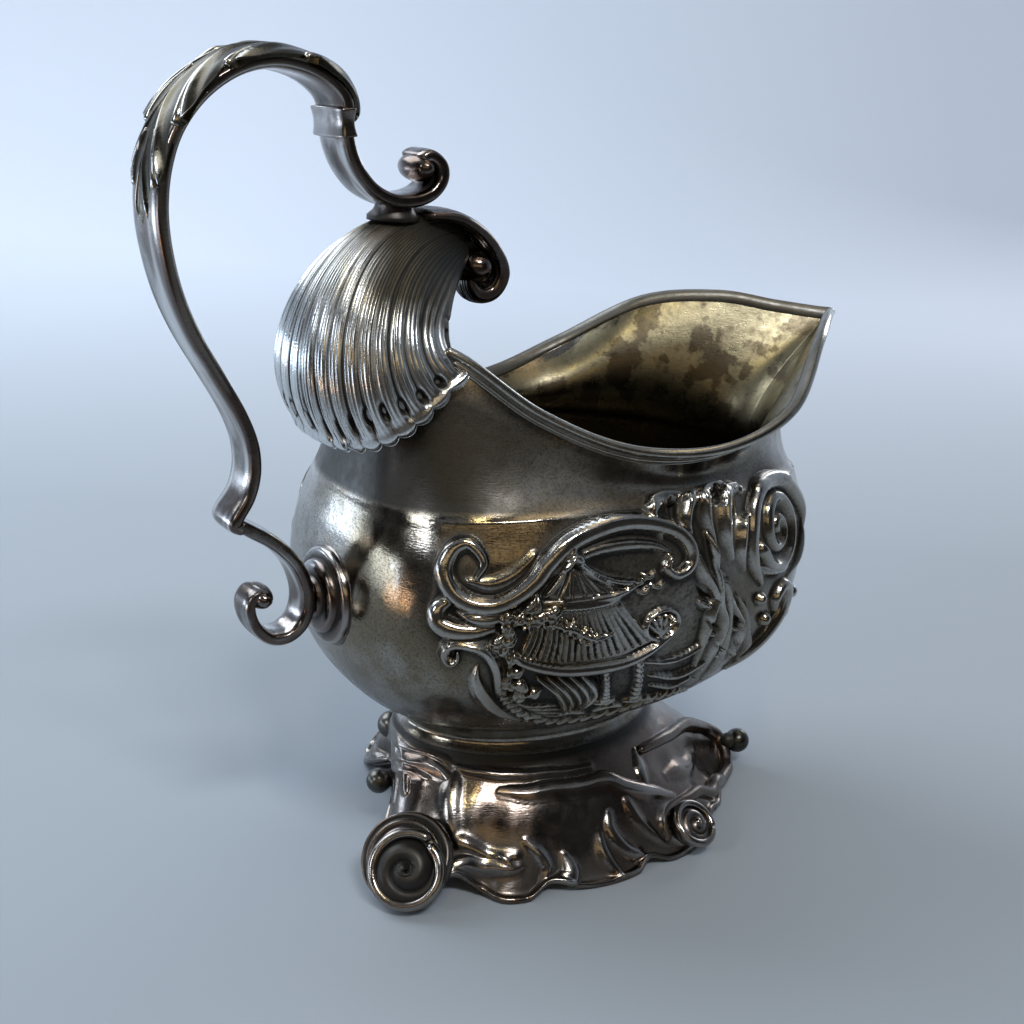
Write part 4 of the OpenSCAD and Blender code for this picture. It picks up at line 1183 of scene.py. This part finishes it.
LOWER = [
    [-57.2, 62.4, 0.9, 0.74], [-54.4, 60.6, 1, 0.72], [-50.8, 58.2, 1, 0.7], [-47.4, 54.7, 1, 0.68],
    [-45.5, 50.8, 1, 0.66], [-45, 47.2, 1, 0.64], [-46, 44.2, 1, 0.62], [-48.4, 42.5, 1, 0.6],
    [-51.2, 42.7, 0.95, 0.58], [-53.6, 45, 0.9, 0.56], [-54.6, 48, 0.85, 0.54], [-53.8, 50, 0.8, 0.54],
    [-52.2, 50.2, 0.8, 0.54],
]
LEAF = [
    [-39.2, 119.4, 0.7, 0.56], [-38.4, 121, 1, 0.62], [-39.4, 123.8, 0.9, 0.7], [-42.6, 126.8, 0.9, 0.74],
    [-47.4, 128.6, 0.9, 0.78], [-53, 129, 0.9, 0.82], [-58.8, 127.4, 0.9, 0.86], [-63.6, 123.8, 0.9, 0.9],
    [-67.2, 118.8, 0.9, 0.88], [-69, 113.4, 0.8, 0.76], [-69.4, 108, 0.7, 0.5], [-68.9, 104.5, 0.4, 0.2],
]


def strip(rows, count, thick, wide):
    """Path for Shape.bar from rows of X, Z, share of thickness, share of width."""
    path = curve(rows, count)
    return np.column_stack([path[:, 0], 0 * path[:, 0], path[:, 1], thick * path[:, 2], wide * path[:, 3]])


def strap_bar(rows, count, around=48):
    """A length of the flat strap, with long soft streaks of tarnish along it."""
    streaks = 0.5 * lattice_noise((count, around), (5, 16)) + 0.3 * lattice_noise((count, around), (14, 30))
    path = strip(rows, count, STRAP_THICK / 2, STRAP_WIDE / 2)
    return Shape().bar(path, strap_section(0.5), around=around, grime_and_shade=lambda phi, s, place: streaks)


def handle_pieces():
    """The strap, its two scrolls and the pad under the upper one."""
    shape = strap_bar(STRAP, 420)
    piece("handle_strap", shape, strap_metal, "worn_silver", "handle_strap")

    shape = strap_bar(UPPER, 260)
    shape.ball((-27.4, 0, 113.7), 2.1, 2.0, "y")
    # the band takes polish and a painted highlight
    band = curve([[-41.5, 0, 121.9, 1.45, 5.2], [-41.3, 0, 119.6, 1.15, 4.7], [-41, 0, 117.4, 1.4, 5.1]], 30)
    shape.bar(band, strap_section(0.3), around=40, ends=0.3, grime_and_shade=even(-0.12))
    piece("handle_upper_scroll", shape, strap_metal, "worn_silver", "handle_upper_scroll")

    shape = strap_bar(LOWER, 260)
    shape.ball((-52.4, 0, 49.4), 1.9, 1.9, "y")
    piece("handle_lower_scroll", shape, strap_metal, "worn_silver", "handle_lower_scroll")

    profile = [[0.1, 1.9], [2.4, 1.85], [2.8, 1.5], [3.1, 0.8], [4.0, 0], [4.0, -0.7], [0.1, -0.7]]
    shape = Shape().turned(profile, (-31, 0, 106.6), grime_and_shade=[0, 0, 0.2, 0.5, 0.7, 0.7, 0.7])
    piece("handle_pad", shape, strap_metal, "dark_silver", "handle_pad")


LEAF_TURNS = 5.0


def leaf_piece():
    """The acanthus cap: long overlapping lobes whose tips curl out along both edges."""
    rows, columns = 460, 160
    path = strip(LEAF, rows, 1.0, LEAF_WIDE / 2)
    place = path[:, :3]
    step = unit(np.gradient(place, axis=0))
    up = unit(np.cross(np.array([0, 1.0, 0]), step))
    wide = np.cross(step, up)
    s = np.linspace(0, 1, rows)[:, None]
    x = np.linspace(-1, 1, columns)[None, :]
    side = np.abs(x)
    sweep = LEAF_TURNS * s**1.6 - 1.35 * side**0.8 + 0.3
    lobe = sweep - np.floor(sweep)
    scoop = np.sin(math.pi * lobe) ** 0.8
    step_edge = held((1 - lobe) / 0.12)
    scale = (0.35 + 0.65 * lobe) * step_edge
    vein = np.cos(2 * math.pi * 2 * sweep + 1.2) * scoop
    height = 1.1 * scale * side**0.35 - 0.75 * scoop * side**0.5 + 0.12 * vein * side
    height = height + 0.55 * hump(x, 0, 0.16) * held(1.2 - s) - 1.1 * side**3
    reach = path[:, 4][:, None] * (1 + 0.34 * (lobe**0.7 * step_edge - 0.6) * side**3)
    fade = np.sqrt(held(np.minimum(s / 0.02, (1 - s) / 0.03)))
    top = (
        place[:, None]
        + up[:, None] * (height * path[:, 3][:, None] * fade)[..., None]
        + wide[:, None] * (x * reach * fade)[..., None]
    )
    # grime and painted shade in the scoops of the lobes and a little over the whole leaf; polish and a
    # painted highlight on the rims at the lobes' ends
    grime_and_shade = 1.5 * (blur(height, (3, 2)) - height) + 1.2 * (blur(height, (12, 6)) - height)
    grime_and_shade = grime_and_shade + 0.12 + 0.75 * hump(lobe, 0.3, 0.22) * side**0.4
    grime_and_shade = grime_and_shade - 0.35 * hump(lobe, 0.87, 0.06) * side
    shape = Shape().grid(top, grime_and_shade=grime_and_shade, flip=flips(top, up[:, None] + 0 * top))
    under = (
        place[:, None]
        + up[:, None] * ((-0.8 - 0.9 * side**3 + 0 * s) * path[:, 3][:, None] * fade)[..., None]
        + wide[:, None] * (x * reach * fade)[..., None]
    )
    shape.grid(under[::3, ::3], grime_and_shade=0.3, flip=not flips(under, up[:, None] + 0 * under))
    for column in (0, -1):
        shape.strip_between(top[:, column], under[:, column], 5, 0.1, flip=True)
    # the curled tips take polish and a painted highlight on their rims
    for turn in range(4):
        for hand in (-1, 1):
            across = np.linspace(0.25, 1, 7)
            along = ((turn - 0.3 + 1.35 * across**0.8) / LEAF_TURNS).clip(0, 1) ** (1 / 1.6)
            row = (along * (rows - 1)).astype(int)
            column = ((1 + hand * across) / 2 * (columns - 1)).astype(int)
            thick = 0.25 + 0.6 * across**2
            edge = curve(np.column_stack([top[row, column], thick, thick]), 40)
            shape.bar(edge, round_section, around=14, grime_and_shade=even(-0.35))
    piece("handle_leaf", shape, leafy, "cast_silver", "handle_leaf")


def boss_piece():
    """The stepped boss between the body and the lower scroll."""
    r = 7.9
    profile = [
        [0.05, -0.1], [1.6, -0.1], [2.4, 0.1], [3.0, 0.5], [3.3, 1.0], [3.5, 1.15], [4.6, 1.1], [5.3, 1.25],
        [5.8, 1.6], [6.0, 2.1], [6.05, 2.4], [6.6, 2.45], [7.2, 2.5], [7.6, 2.7], [r - 0.1, 3.1], [r, 3.6],
        [r - 0.1, 4.3], [0.05, 4.3],
    ]
    # grime and painted shade in the steps and on the back face, polish and painted highlight on the edges
    grime_and_shade = [0, 0, 0, 0.1, 0.6, 0.7, 0.1, -0.1, 0, 0.4, 0.8, 0.5, 0, -0.2, -0.2, 0.1, 0.6, 0.6]
    table = np.column_stack([np.arange(len(profile)), profile, grime_and_shade])
    fine = smooth(np.linspace(0, len(profile) - 1, 90), table)
    shape = Shape().turned(fine[:, :2], (-44.2, 0, 47.6), axis="x", around=128, grime_and_shade=fine[:, 2])
    piece("boss", shape, strap_metal, "worn_silver", "boss")


# ---------------------------------------------------------------- foot

FOOT_GRID = (110, 800)


def foot_piece():
    """The cast foot, folded and ruffled, hollow below."""
    relief = Relief(foot, (0, 360), (0, 1), FOOT_GRID)
    relief.normal = -relief.normal
    foot_strokes(relief)
    a, t = relief.a[None, :], relief.b[:, None]
    ripple = np.sin(rad(20 * a + 40 * np.sin(rad(3 * a))))
    relief.height += 0.22 * ripple * held(t * 3 - 1.9) * held((1.02 - t) * 8)
    relief.height += 0.5 * hump(t, 0.965, 0.03)
    relief.height *= held(t / 0.06)
    # grime and painted shade in the groove at the seam and in the folds, polish and painted highlight on the
    # ridges, painted shade over the lower slope
    grime_and_shade = relief.grime_and_shade(2.0, 9.0, 1.3) + 0.9 * hump(t, 0, 0.07) + 0.22 * held(3 * t - 1.5)
    top = relief.solid()[:, :-1]
    under = top.copy()
    flat = unit(under * np.array([1, 1, 0]))
    drop = 1.44 * held(t * 20) * held((1 - t) * 14)
    under = under - flat * 1.6
    under[..., 2] = np.maximum(np.minimum(under[..., 2], 0.2), under[..., 2] - drop)
    shape = Shape()
    shape.grid(top, grime_and_shade=grime_and_shade[:, :-1], wrap_columns=True, flip=True)
    shape.grid(under[::4, ::3], grime_and_shade=0.5, wrap_columns=True)
    for first, last in ((top[-1], under[-1]), (under[0], top[0])):
        shape.strip_between(first[::3], last[::3], 4, 0.2, wrap_columns=True, flip=True)
    piece("foot", shape, cast, "cast_silver", "foot")


MIRRORED = {lip: lip_left, lip_left: lip}
# folds past this angle belong to the front hollow and aren't repeated on the far side
NEAR_ONLY = 300


def foot_strokes(relief):
    """Angle, place on the slope, half width and height of each fold and scroll of the casting."""
    ridges = [
        ([[210, 0.09, 0.8, 0.3], [224, 0.11, 1.1, 0.7], [236, 0.125, 1.1, 0.8], [252, 0.135, 1, 0.6],
          [270, 0.15, 0.8, 0.3]], swell),
        ([[236, 0.28, 0.9, 0.2], [246, 0.3, 1.4, 0.6], [258, 0.29, 1.5, 0.7], [266, 0.3, 1.5, 0.8],
          [273, 0.31, 1.6, 1], [279, 0.44, 1.5, 1], [284, 0.49, 1.5, 1], [290, 0.54, 1.2, 0.8],
          [296, 0.62, 0.8, 0.4]], lip_left),
        ([[278, 0.47, 0.8, 0.3], [278.5, 0.56, 1.3, 0.8], [280, 0.68, 1.5, 1.1], [283, 0.78, 1.3, 1],
          [286, 0.86, 0.6, 0.3]], lip),
        ([[271, 0.54, 0.8, 0.3], [270.5, 0.63, 1.3, 0.9], [272.5, 0.74, 1.6, 1.3],
          [276.5, 0.86, 1.6, 1.4], [277, 0.95, 1, 1], [272, 0.97, 0.8, 0.8],
          [268, 0.93, 0.5, 0.4]], lip),
        ([[266, 0.62, 0.7, 0.2], [266, 0.76, 1.3, 1.1], [268.5, 0.92, 1.2, 1.1]], lip_left),
        ([[245, 0.62, 0.7, 0.3], [248.5, 0.71, 1.2, 0.9], [251, 0.84, 1.4, 1.2],
          [250, 0.95, 0.8, 0.8]], lip),
        ([[255.5, 0.76, 0.7, 0.4], [256.5, 0.88, 1.5, 1.3], [252.5, 0.98, 1, 0.9],
          [246.5, 0.97, 0.6, 0.5]], dome),
        ([[221, 0.97, 1, 0.9], [225, 0.93, 1.4, 1.2], [230, 0.86, 1.6, 1.3], [236, 0.79, 1.6, 1.1],
          [243, 0.77, 1, 0.5]], lip_left),
        ([[222, 0.6, 1, 0.3], [226, 0.7, 1.6, 0.7], [233, 0.72, 1.6, 0.8], [242, 0.7, 1, 0.3]], swell),
        ([[236, 0.69, 0.4, 0.4], [239, 0.71, 0.8, 0.9], [242, 0.75, 0.5, 0.5]], lip),
        ([[216, 0.1, 0.9, 0.2], [216.5, 0.25, 1.8, 0.8], [218, 0.4, 2, 0.9], [221, 0.55, 1.7, 0.7],
          [225, 0.68, 0.9, 0.2]], swell),
        ([[216, 0.26, 0.8, 0.3], [207, 0.17, 1.4, 0.9], [196, 0.2, 1.6, 1.1], [180, 0.42, 1.3, 0.8],
          [170, 0.7, 0.6, 0.3]], lip),
        ([[214, 0.14, 0.8, 0.3], [206, 0.08, 1.3, 0.8], [194, 0.08, 1.5, 1], [178, 0.2, 1.5, 1],
          [164, 0.5, 0.9, 0.5]], lip),
        ([[204, 0.3, 0.8, 0.3], [194, 0.34, 1.4, 0.8], [182, 0.6, 1.4, 0.8],
          [176, 0.85, 0.8, 0.4]], lip),
        ([[293, 0.2, 0.9, 0.5], [290, 0.34, 1.5, 0.9], [288, 0.46, 0.8, 0.3]], lip),
        ([[297, 0.62, 0.7, 0.3], [288, 0.66, 1.4, 1.2], [286, 0.76, 1.4, 1.3], [289, 0.88, 1.3, 1.2],
          [291, 0.97, 0.7, 0.6]], lip_left),
        ([[300, 0.5, 1, 0.3], [309, 0.56, 2, 0.9], [320, 0.62, 2, 0.9], [332, 0.66, 1, 0.3]], swell),
    ]
    for rows, profile in ridges:
        rows = [[a, t, 1.25 * wide, 0.7 * high] for a, t, wide, high in rows]
        mirrored = [[(360 - row[0]) % 360, *row[1:]] for row in rows]
        relief.stroke(rows, profile, count=60)
        if rows[0][0] < NEAR_ONLY:
            relief.stroke(mirrored, MIRRORED.get(profile, profile), count=60)
    hollow = [(298, 0.32), (306, 0.28), (320, 0.36), (332, 0.5), (341, 0.68), (342, 0.84), (334, 0.9),
              (318, 0.82), (306, 0.7), (298, 0.55)]
    relief.region(hollow, -1.3, soften=1.6)


def facing(shape, place, turn, tilt):
    """Points a piece, made about Z at the origin, outward and up at its place on the foot."""
    look = Matrix.Rotation(math.radians(turn), 3, "Z") @ Matrix.Rotation(math.radians(90 - tilt), 3, "Y")
    look = np.array(look)
    shape.points = [points @ look.T + np.asarray(place, float) for points in shape.points]
    return shape


# rows out from the eye, points round it
WHORL_GRID = (90, 220)


def whorl(shape, reach, rise, turns, deep, ribs, dirt_and_shade):
    """A snail-like dome: a spiral groove winds in to the eye, with ribs across its outer turn."""
    rows, columns = WHORL_GRID
    r = np.linspace(0, 1, rows)[:, None]
    phi = np.linspace(0, 2 * math.pi, columns, endpoint=False)[None, :]
    phase = turns * r**0.8 - phi / (2 * math.pi)
    ridge = np.abs(np.sin(math.pi * phase)) ** 0.8
    outer = held((r - 0.62) * 4) * held((1 - r) * 12)
    rib = 0.5 + 0.5 * np.cos(ribs * phi)
    lift = rise * np.sqrt(held(1 - r**2)) - deep * (1 - ridge) - 0.16 * outer * rib
    lift = lift + 0.6 * np.sqrt(held(1 - (r / 0.2) ** 2))
    points = np.stack([reach * r * np.cos(phi), reach * r * np.sin(phi), lift], -1)
    # grime and painted shade in the spiral groove and over the outer turn, polish and painted highlight on
    # the ridge
    grime_and_shade = dirt_and_shade + 0.9 * (1 - ridge) ** 2 - 0.2 * ridge**4 + 0.5 * outer * rib**3
    shape.grid(points, grime_and_shade=grime_and_shade, wrap_columns=True)


# angle, place on the slope of the foot and half thickness of the rim round the front hollow
FRONT_RIM = [
    [286, 0.86, 0.8], [288, 0.7, 1], [297, 0.68, 1.1], [308, 0.78, 1.2], [320, 0.9, 1.3], [334, 0.96, 1.3],
    [346, 0.9, 1.4], [348, 0.74, 1.4], [341, 0.55, 1.5], [330, 0.4, 1.4], [316, 0.29, 1.3], [303, 0.23, 1.1],
    [294, 0.2, 0.8],
]


def front_rim_shade(phi, s, place):
    """Painted shade along both sides of the rim, where it meets the foot."""
    return 0.1 + 0.5 * np.sin(phi) ** 6 + 0 * s


def foot_scrolls():
    """The shell scroll, the front scroll with the rim of its hollow, and the knobs."""
    shape = Shape()
    whorl(shape, 5.6, 2.6, 1.6, 1.0, 0, 0.85)
    ring = spiral((0, 0, 0.5), 5.9, 5.2, 1.0, 150, 0.5, 0.85)
    # polish and a painted highlight on the raised ring
    shape.bar(ring, round_section, side=(0, 0, 1), around=20, grime_and_shade=even(-0.2))
    back = [[5.4, 0.4], [6.2, 0.5], [6.3, -0.2], [5.4, -1.5], [4.2, -3], [0.1, -3]]
    shape.turned(back, (0, 0, 0), grime_and_shade=[0.6, 0.3, 0.1, 0.4, 0.6, 0.6])
    facing(shape, (-35, -19, 6), 225, 35)
    fan = Shape()
    whorl(fan, 7.6, 2.4, 6.2, 0.6, 0, 0.1)
    facing(fan, (-33.6, -16.4, 6.4), 222, 42)
    fluting, dirt_and_shade = fan.points[0].reshape(*WHORL_GRID, 3), fan.grime_and_shade[0].reshape(WHORL_GRID)
    shape.grid(fluting, grime_and_shade=dirt_and_shade, wrap_columns=True)
    piece("foot_shell_scroll", shape, cast, "cast_silver", "foot_shell_scroll")

    shape = Shape()
    whorl(shape, 3.8, 1.5, 1.6, 0.6, 0, 0.25)
    ring = spiral((0, 0, 0.3), 4, 3.5, 1.0, 60, 0.4, 0.7)
    # polish and a painted highlight on the raised ring
    shape.bar(ring, round_section, side=(0, 0, 1), around=20, grime_and_shade=even(-0.2))
    shape.turned([[3.6, 0.3], [4.1, 0.3], [4, -0.4], [2.6, -3], [0.1, -3]], (0, 0, 0),
                 grime_and_shade=[0.6, 0.3, 0.3, 0.6, 0.6])
    facing(shape, (16.8, -29.9, 5), 280, 50)
    rows = curve(FRONT_RIM, 160)
    p = foot(rows[:, 0], rows[:, 1])
    p[:, 2] = np.maximum(p[:, 2] + 0.3, rows[:, 2] + 0.1)
    arch = np.column_stack([p, rows[:, 2], rows[:, 2]])
    shape.bar(arch, round_section, side=(0, 0, 1), around=20, grime_and_shade=front_rim_shade)
    piece("foot_front_scroll", shape, cast, "cast_silver", "foot_front_scroll")

    shape = Shape()
    for centre, radius in (((-28, 3, 9.4), 2.2), ((-19, 14.5, 13), 2.6), ((46.8, -10, 5), 2.4)):
        # painted shade on the lower half of each knob, polish and a painted highlight on its top
        shape.ball(centre, radius, grime_and_shade=np.linspace(0.5, -0.1, BALL_ROWS))
    for centre, reach in (((-28, 3, 9.4), (5, 0, 0)), ((46.8, -10, 5), (-3.8, 0.8, 0.6))):
        start = np.array(centre, float)
        stalk = np.linspace(start, start + np.array(reach, float), 12)
        stalk = np.column_stack([stalk, np.linspace(1.9, 1.2, 12), np.linspace(1.9, 1.2, 12)])
        shape.bar(stalk, round_section, side=(0, 0, 1), around=20, grime_and_shade=even(0.5))
    piece("foot_knobs", shape, dark, "dark_silver", "foot_knobs")


def spiral(centre, r0, r1, turns, start, rise, thick):
    """A path that winds in and rises to its eye."""
    count = int(60 * abs(turns))
    s = np.linspace(0, 1, count)
    r = r0 + (r1 - r0) * s
    g = rad(start + 360 * turns * s)
    c = np.asarray(centre, float)
    half = thick + 0 * s
    return np.column_stack([c[0] + r * np.cos(g), c[1] + r * np.sin(g), c[2] + rise * s, half, half])


def round_section(phi, s):
    """A round bar."""
    return np.cos(phi) + 0 * s, np.sin(phi) + 0 * s


body_pieces()
rim_piece()
collar_piece()
panel_pieces()
hood_piece()
volute_piece()
handle_pieces()
leaf_piece()
boss_piece()
foot_piece()
foot_scrolls()


# ---------------------------------------------------------------- stage, light and camera

# the camera's direction over the ground, X and Y
LOOK = (0.59, 0.81)


def stage_material():
    """Pale floor whose tone changes with distance as painted light falloff, paler far off, with a painted
    shadow to the right and painted shade of the unlit room behind the camera.
    """
    material = bpy.data.materials.new("stage")
    material.use_nodes = True
    tree = material.node_tree
    shader = tree.nodes["Principled BSDF"]
    place = tree.nodes.new("ShaderNodeTexCoord").outputs["Object"]
    split = tree.nodes.new("ShaderNodeSeparateXYZ")
    link(tree, place, split.inputs["Vector"])
    depth = sums(tree, sums(tree, split.outputs["X"], LOOK[0], kind="MULTIPLY"),
                 sums(tree, split.outputs["Y"], LOOK[1], kind="MULTIPLY"))
    across = sums(tree, sums(tree, split.outputs["X"], LOOK[1], kind="MULTIPLY"),
                  sums(tree, split.outputs["Y"], -LOOK[0], kind="MULTIPLY"))
    # painted light falloff: pale far off, darker near the jug; painted shadow to the right; painted shade of
    # the unlit room towards the camera
    colour = blend(tree, span(tree, depth, 0.72, 0.16), (0.74, 0.80, 0.90), (0.37, 0.42, 0.48))
    colour = blend(tree, span(tree, depth, 0.18, -0.06), colour, (0.32, 0.37, 0.43))
    colour = blend(tree, span(tree, across, -0.25, 0.35, 0.0, 0.30), colour, (0.22, 0.22, 0.22))
    colour = blend(tree, span(tree, depth, -0.07, -0.2), colour, (0.06, 0.056, 0.052))
    link(tree, colour, shader.inputs["Base Color"])
    shader.inputs["Roughness"].default_value = 0.75
    shader.inputs["Specular IOR Level"].default_value = 0.2
    return material


def stage():
    """A pale floor that curves up all round into a wall."""
    curve_r, wall_at, top = 0.4, 1.1, 1.0
    turn = np.linspace(0, math.pi / 2, 24)
    r = np.concatenate([[0.0, 0.2, 0.45], wall_at - curve_r + curve_r * np.sin(turn), [wall_at]])
    z = np.concatenate([[0.0, 0.0, 0.0], curve_r - curve_r * np.cos(turn), [top]])
    a = np.linspace(0, 2 * math.pi, 128, endpoint=False)[None, :]
    points = np.stack([r[:, None] * np.cos(a), r[:, None] * np.sin(a), z[:, None] + 0 * a], -1)
    mesh = bpy.data.meshes.new("stage")
    rows, columns = points.shape[:2]
    index = np.arange(rows * columns).reshape(rows, columns)
    index = np.hstack([index, index[:, :1]])
    quads = np.stack([index[:-1, :-1], index[:-1, 1:], index[1:, 1:], index[1:, :-1]], -1).reshape(-1, 4)
    mesh.from_pydata(points.reshape(-1, 3).tolist(), [], quads[:, ::-1].tolist())
    mesh.shade_smooth()
    mesh.materials.append(stage_material())
    obj = bpy.data.objects.new("stage", mesh)
    bpy.context.scene.collection.objects.link(obj)


def soft_box(name, place, aim, size, power, colour):
    """A rectangular light that faces its aim; lengths in metres, power in watts."""
    light = bpy.data.lights.new(name, "AREA")
    light.shape = "RECTANGLE"
    light.size, light.size_y = size
    light.energy = power
    light.color = colour
    obj = bpy.data.objects.new(name, light)
    obj.location = place
    obj.rotation_mode = "QUATERNION"
    obj.rotation_quaternion = (Vector(aim) - Vector(place)).to_track_quat("-Z", "Y")
    bpy.context.scene.collection.objects.link(obj)


# metres from the jug to the two low panes
PANE_AWAY = 0.46


def lights():
    """Daylight from the left rear, a dim warm room behind the camera and small windows."""
    soft_box("key", (-0.35, 0.62, 0.75), (0, 0, 0.05), (0.7, 0.7), 6.8, (0.88, 0.94, 1.0))
    soft_box("backdrop", (0.15, 0.30, 0.95), (0.65, 0.95, 0.35), (0.5, 0.5), 2.6, (0.80, 0.90, 1.0))
    soft_box("window_high", (-0.72, -0.06, 0.42), (0, 0, 0.08), (0.22, 0.16), 1.0, (0.88, 0.94, 1.0))
    for name, turn, wide, power in (("pane_a", 161, 0.20, 0.24), ("pane_b", 134, 0.13, 0.16)):
        turn = math.radians(turn)
        place = (PANE_AWAY * math.cos(turn), PANE_AWAY * math.sin(turn), 0.036)
        soft_box(name, place, (0, 0, 0.06), (wide, 0.066), power, (0.70, 0.83, 1.0))
    soft_box("low_sun", (-0.31, 0.02, 0.012), (0, 0, 0.05), (0.12, 0.018), 0.04, (1.0, 0.66, 0.42))
    soft_box("skylight", (-0.13, -0.52, 0.72), (0, 0, 0.02), (0.24, 0.10), 3.0, (0.95, 0.96, 0.98))
    soft_box("ceiling", (0.16, -0.10, 0.80), (0, 0, 0.05), (0.50, 0.26), 0.4, (1.0, 0.74, 0.38))
    soft_box("room", (-0.46, -0.68, 0.37), (0, 0, 0.06), (0.95, 0.20), 0.46, (1.0, 0.75, 0.42))
    soft_box("lamp", (-0.32, -0.38, 0.76), (0, 0, 0.02), (0.06, 0.09), 0.55, (1.0, 0.84, 0.42))
    soft_box("side", (0.75, 0.25, 0.35), (0, 0, 0.06), (0.25, 0.35), 1.0, (0.95, 0.97, 1.0))
    world = bpy.data.worlds.new("world")
    bpy.context.scene.world = world
    world.use_nodes = True
    world.node_tree.nodes["Background"].inputs["Color"].default_value = (0.52, 0.57, 0.64, 1)
    world.node_tree.nodes["Background"].inputs["Strength"].default_value = 0.4


SENSOR_MM, LENS_MM = 36, 45.7


def camera():
    """Three-quarter view from the right rear, a little above the rim."""
    aim = Vector((-5.4, 0, 56.76)) * MM
    distance, turn, rise, roll = 223.5 * MM, math.radians(36.08), math.radians(17.51), math.radians(3.9)
    back = Vector((-math.sin(turn) * math.cos(rise), -math.cos(turn) * math.cos(rise), math.sin(rise)))
    right = (-back).cross(Vector((0, 0, 1))).normalized()
    up = right.cross(-back)
    tilted_right = right * math.cos(roll) + up * math.sin(roll)
    tilted_up = up * math.cos(roll) - right * math.sin(roll)
    data = bpy.data.cameras.new("camera")
    data.sensor_width, data.lens = SENSOR_MM, LENS_MM
    data.clip_start = 0.005
    obj = bpy.data.objects.new("camera", data)
    turn_matrix = Matrix((tilted_right, tilted_up, back)).transposed().to_4x4()
    obj.matrix_world = Matrix.Translation(aim + back * distance) @ turn_matrix
    bpy.context.scene.collection.objects.link(obj)
    bpy.context.scene.camera = obj
    bpy.context.scene.view_settings.view_transform = "Standard"


stage()
lights()
camera()
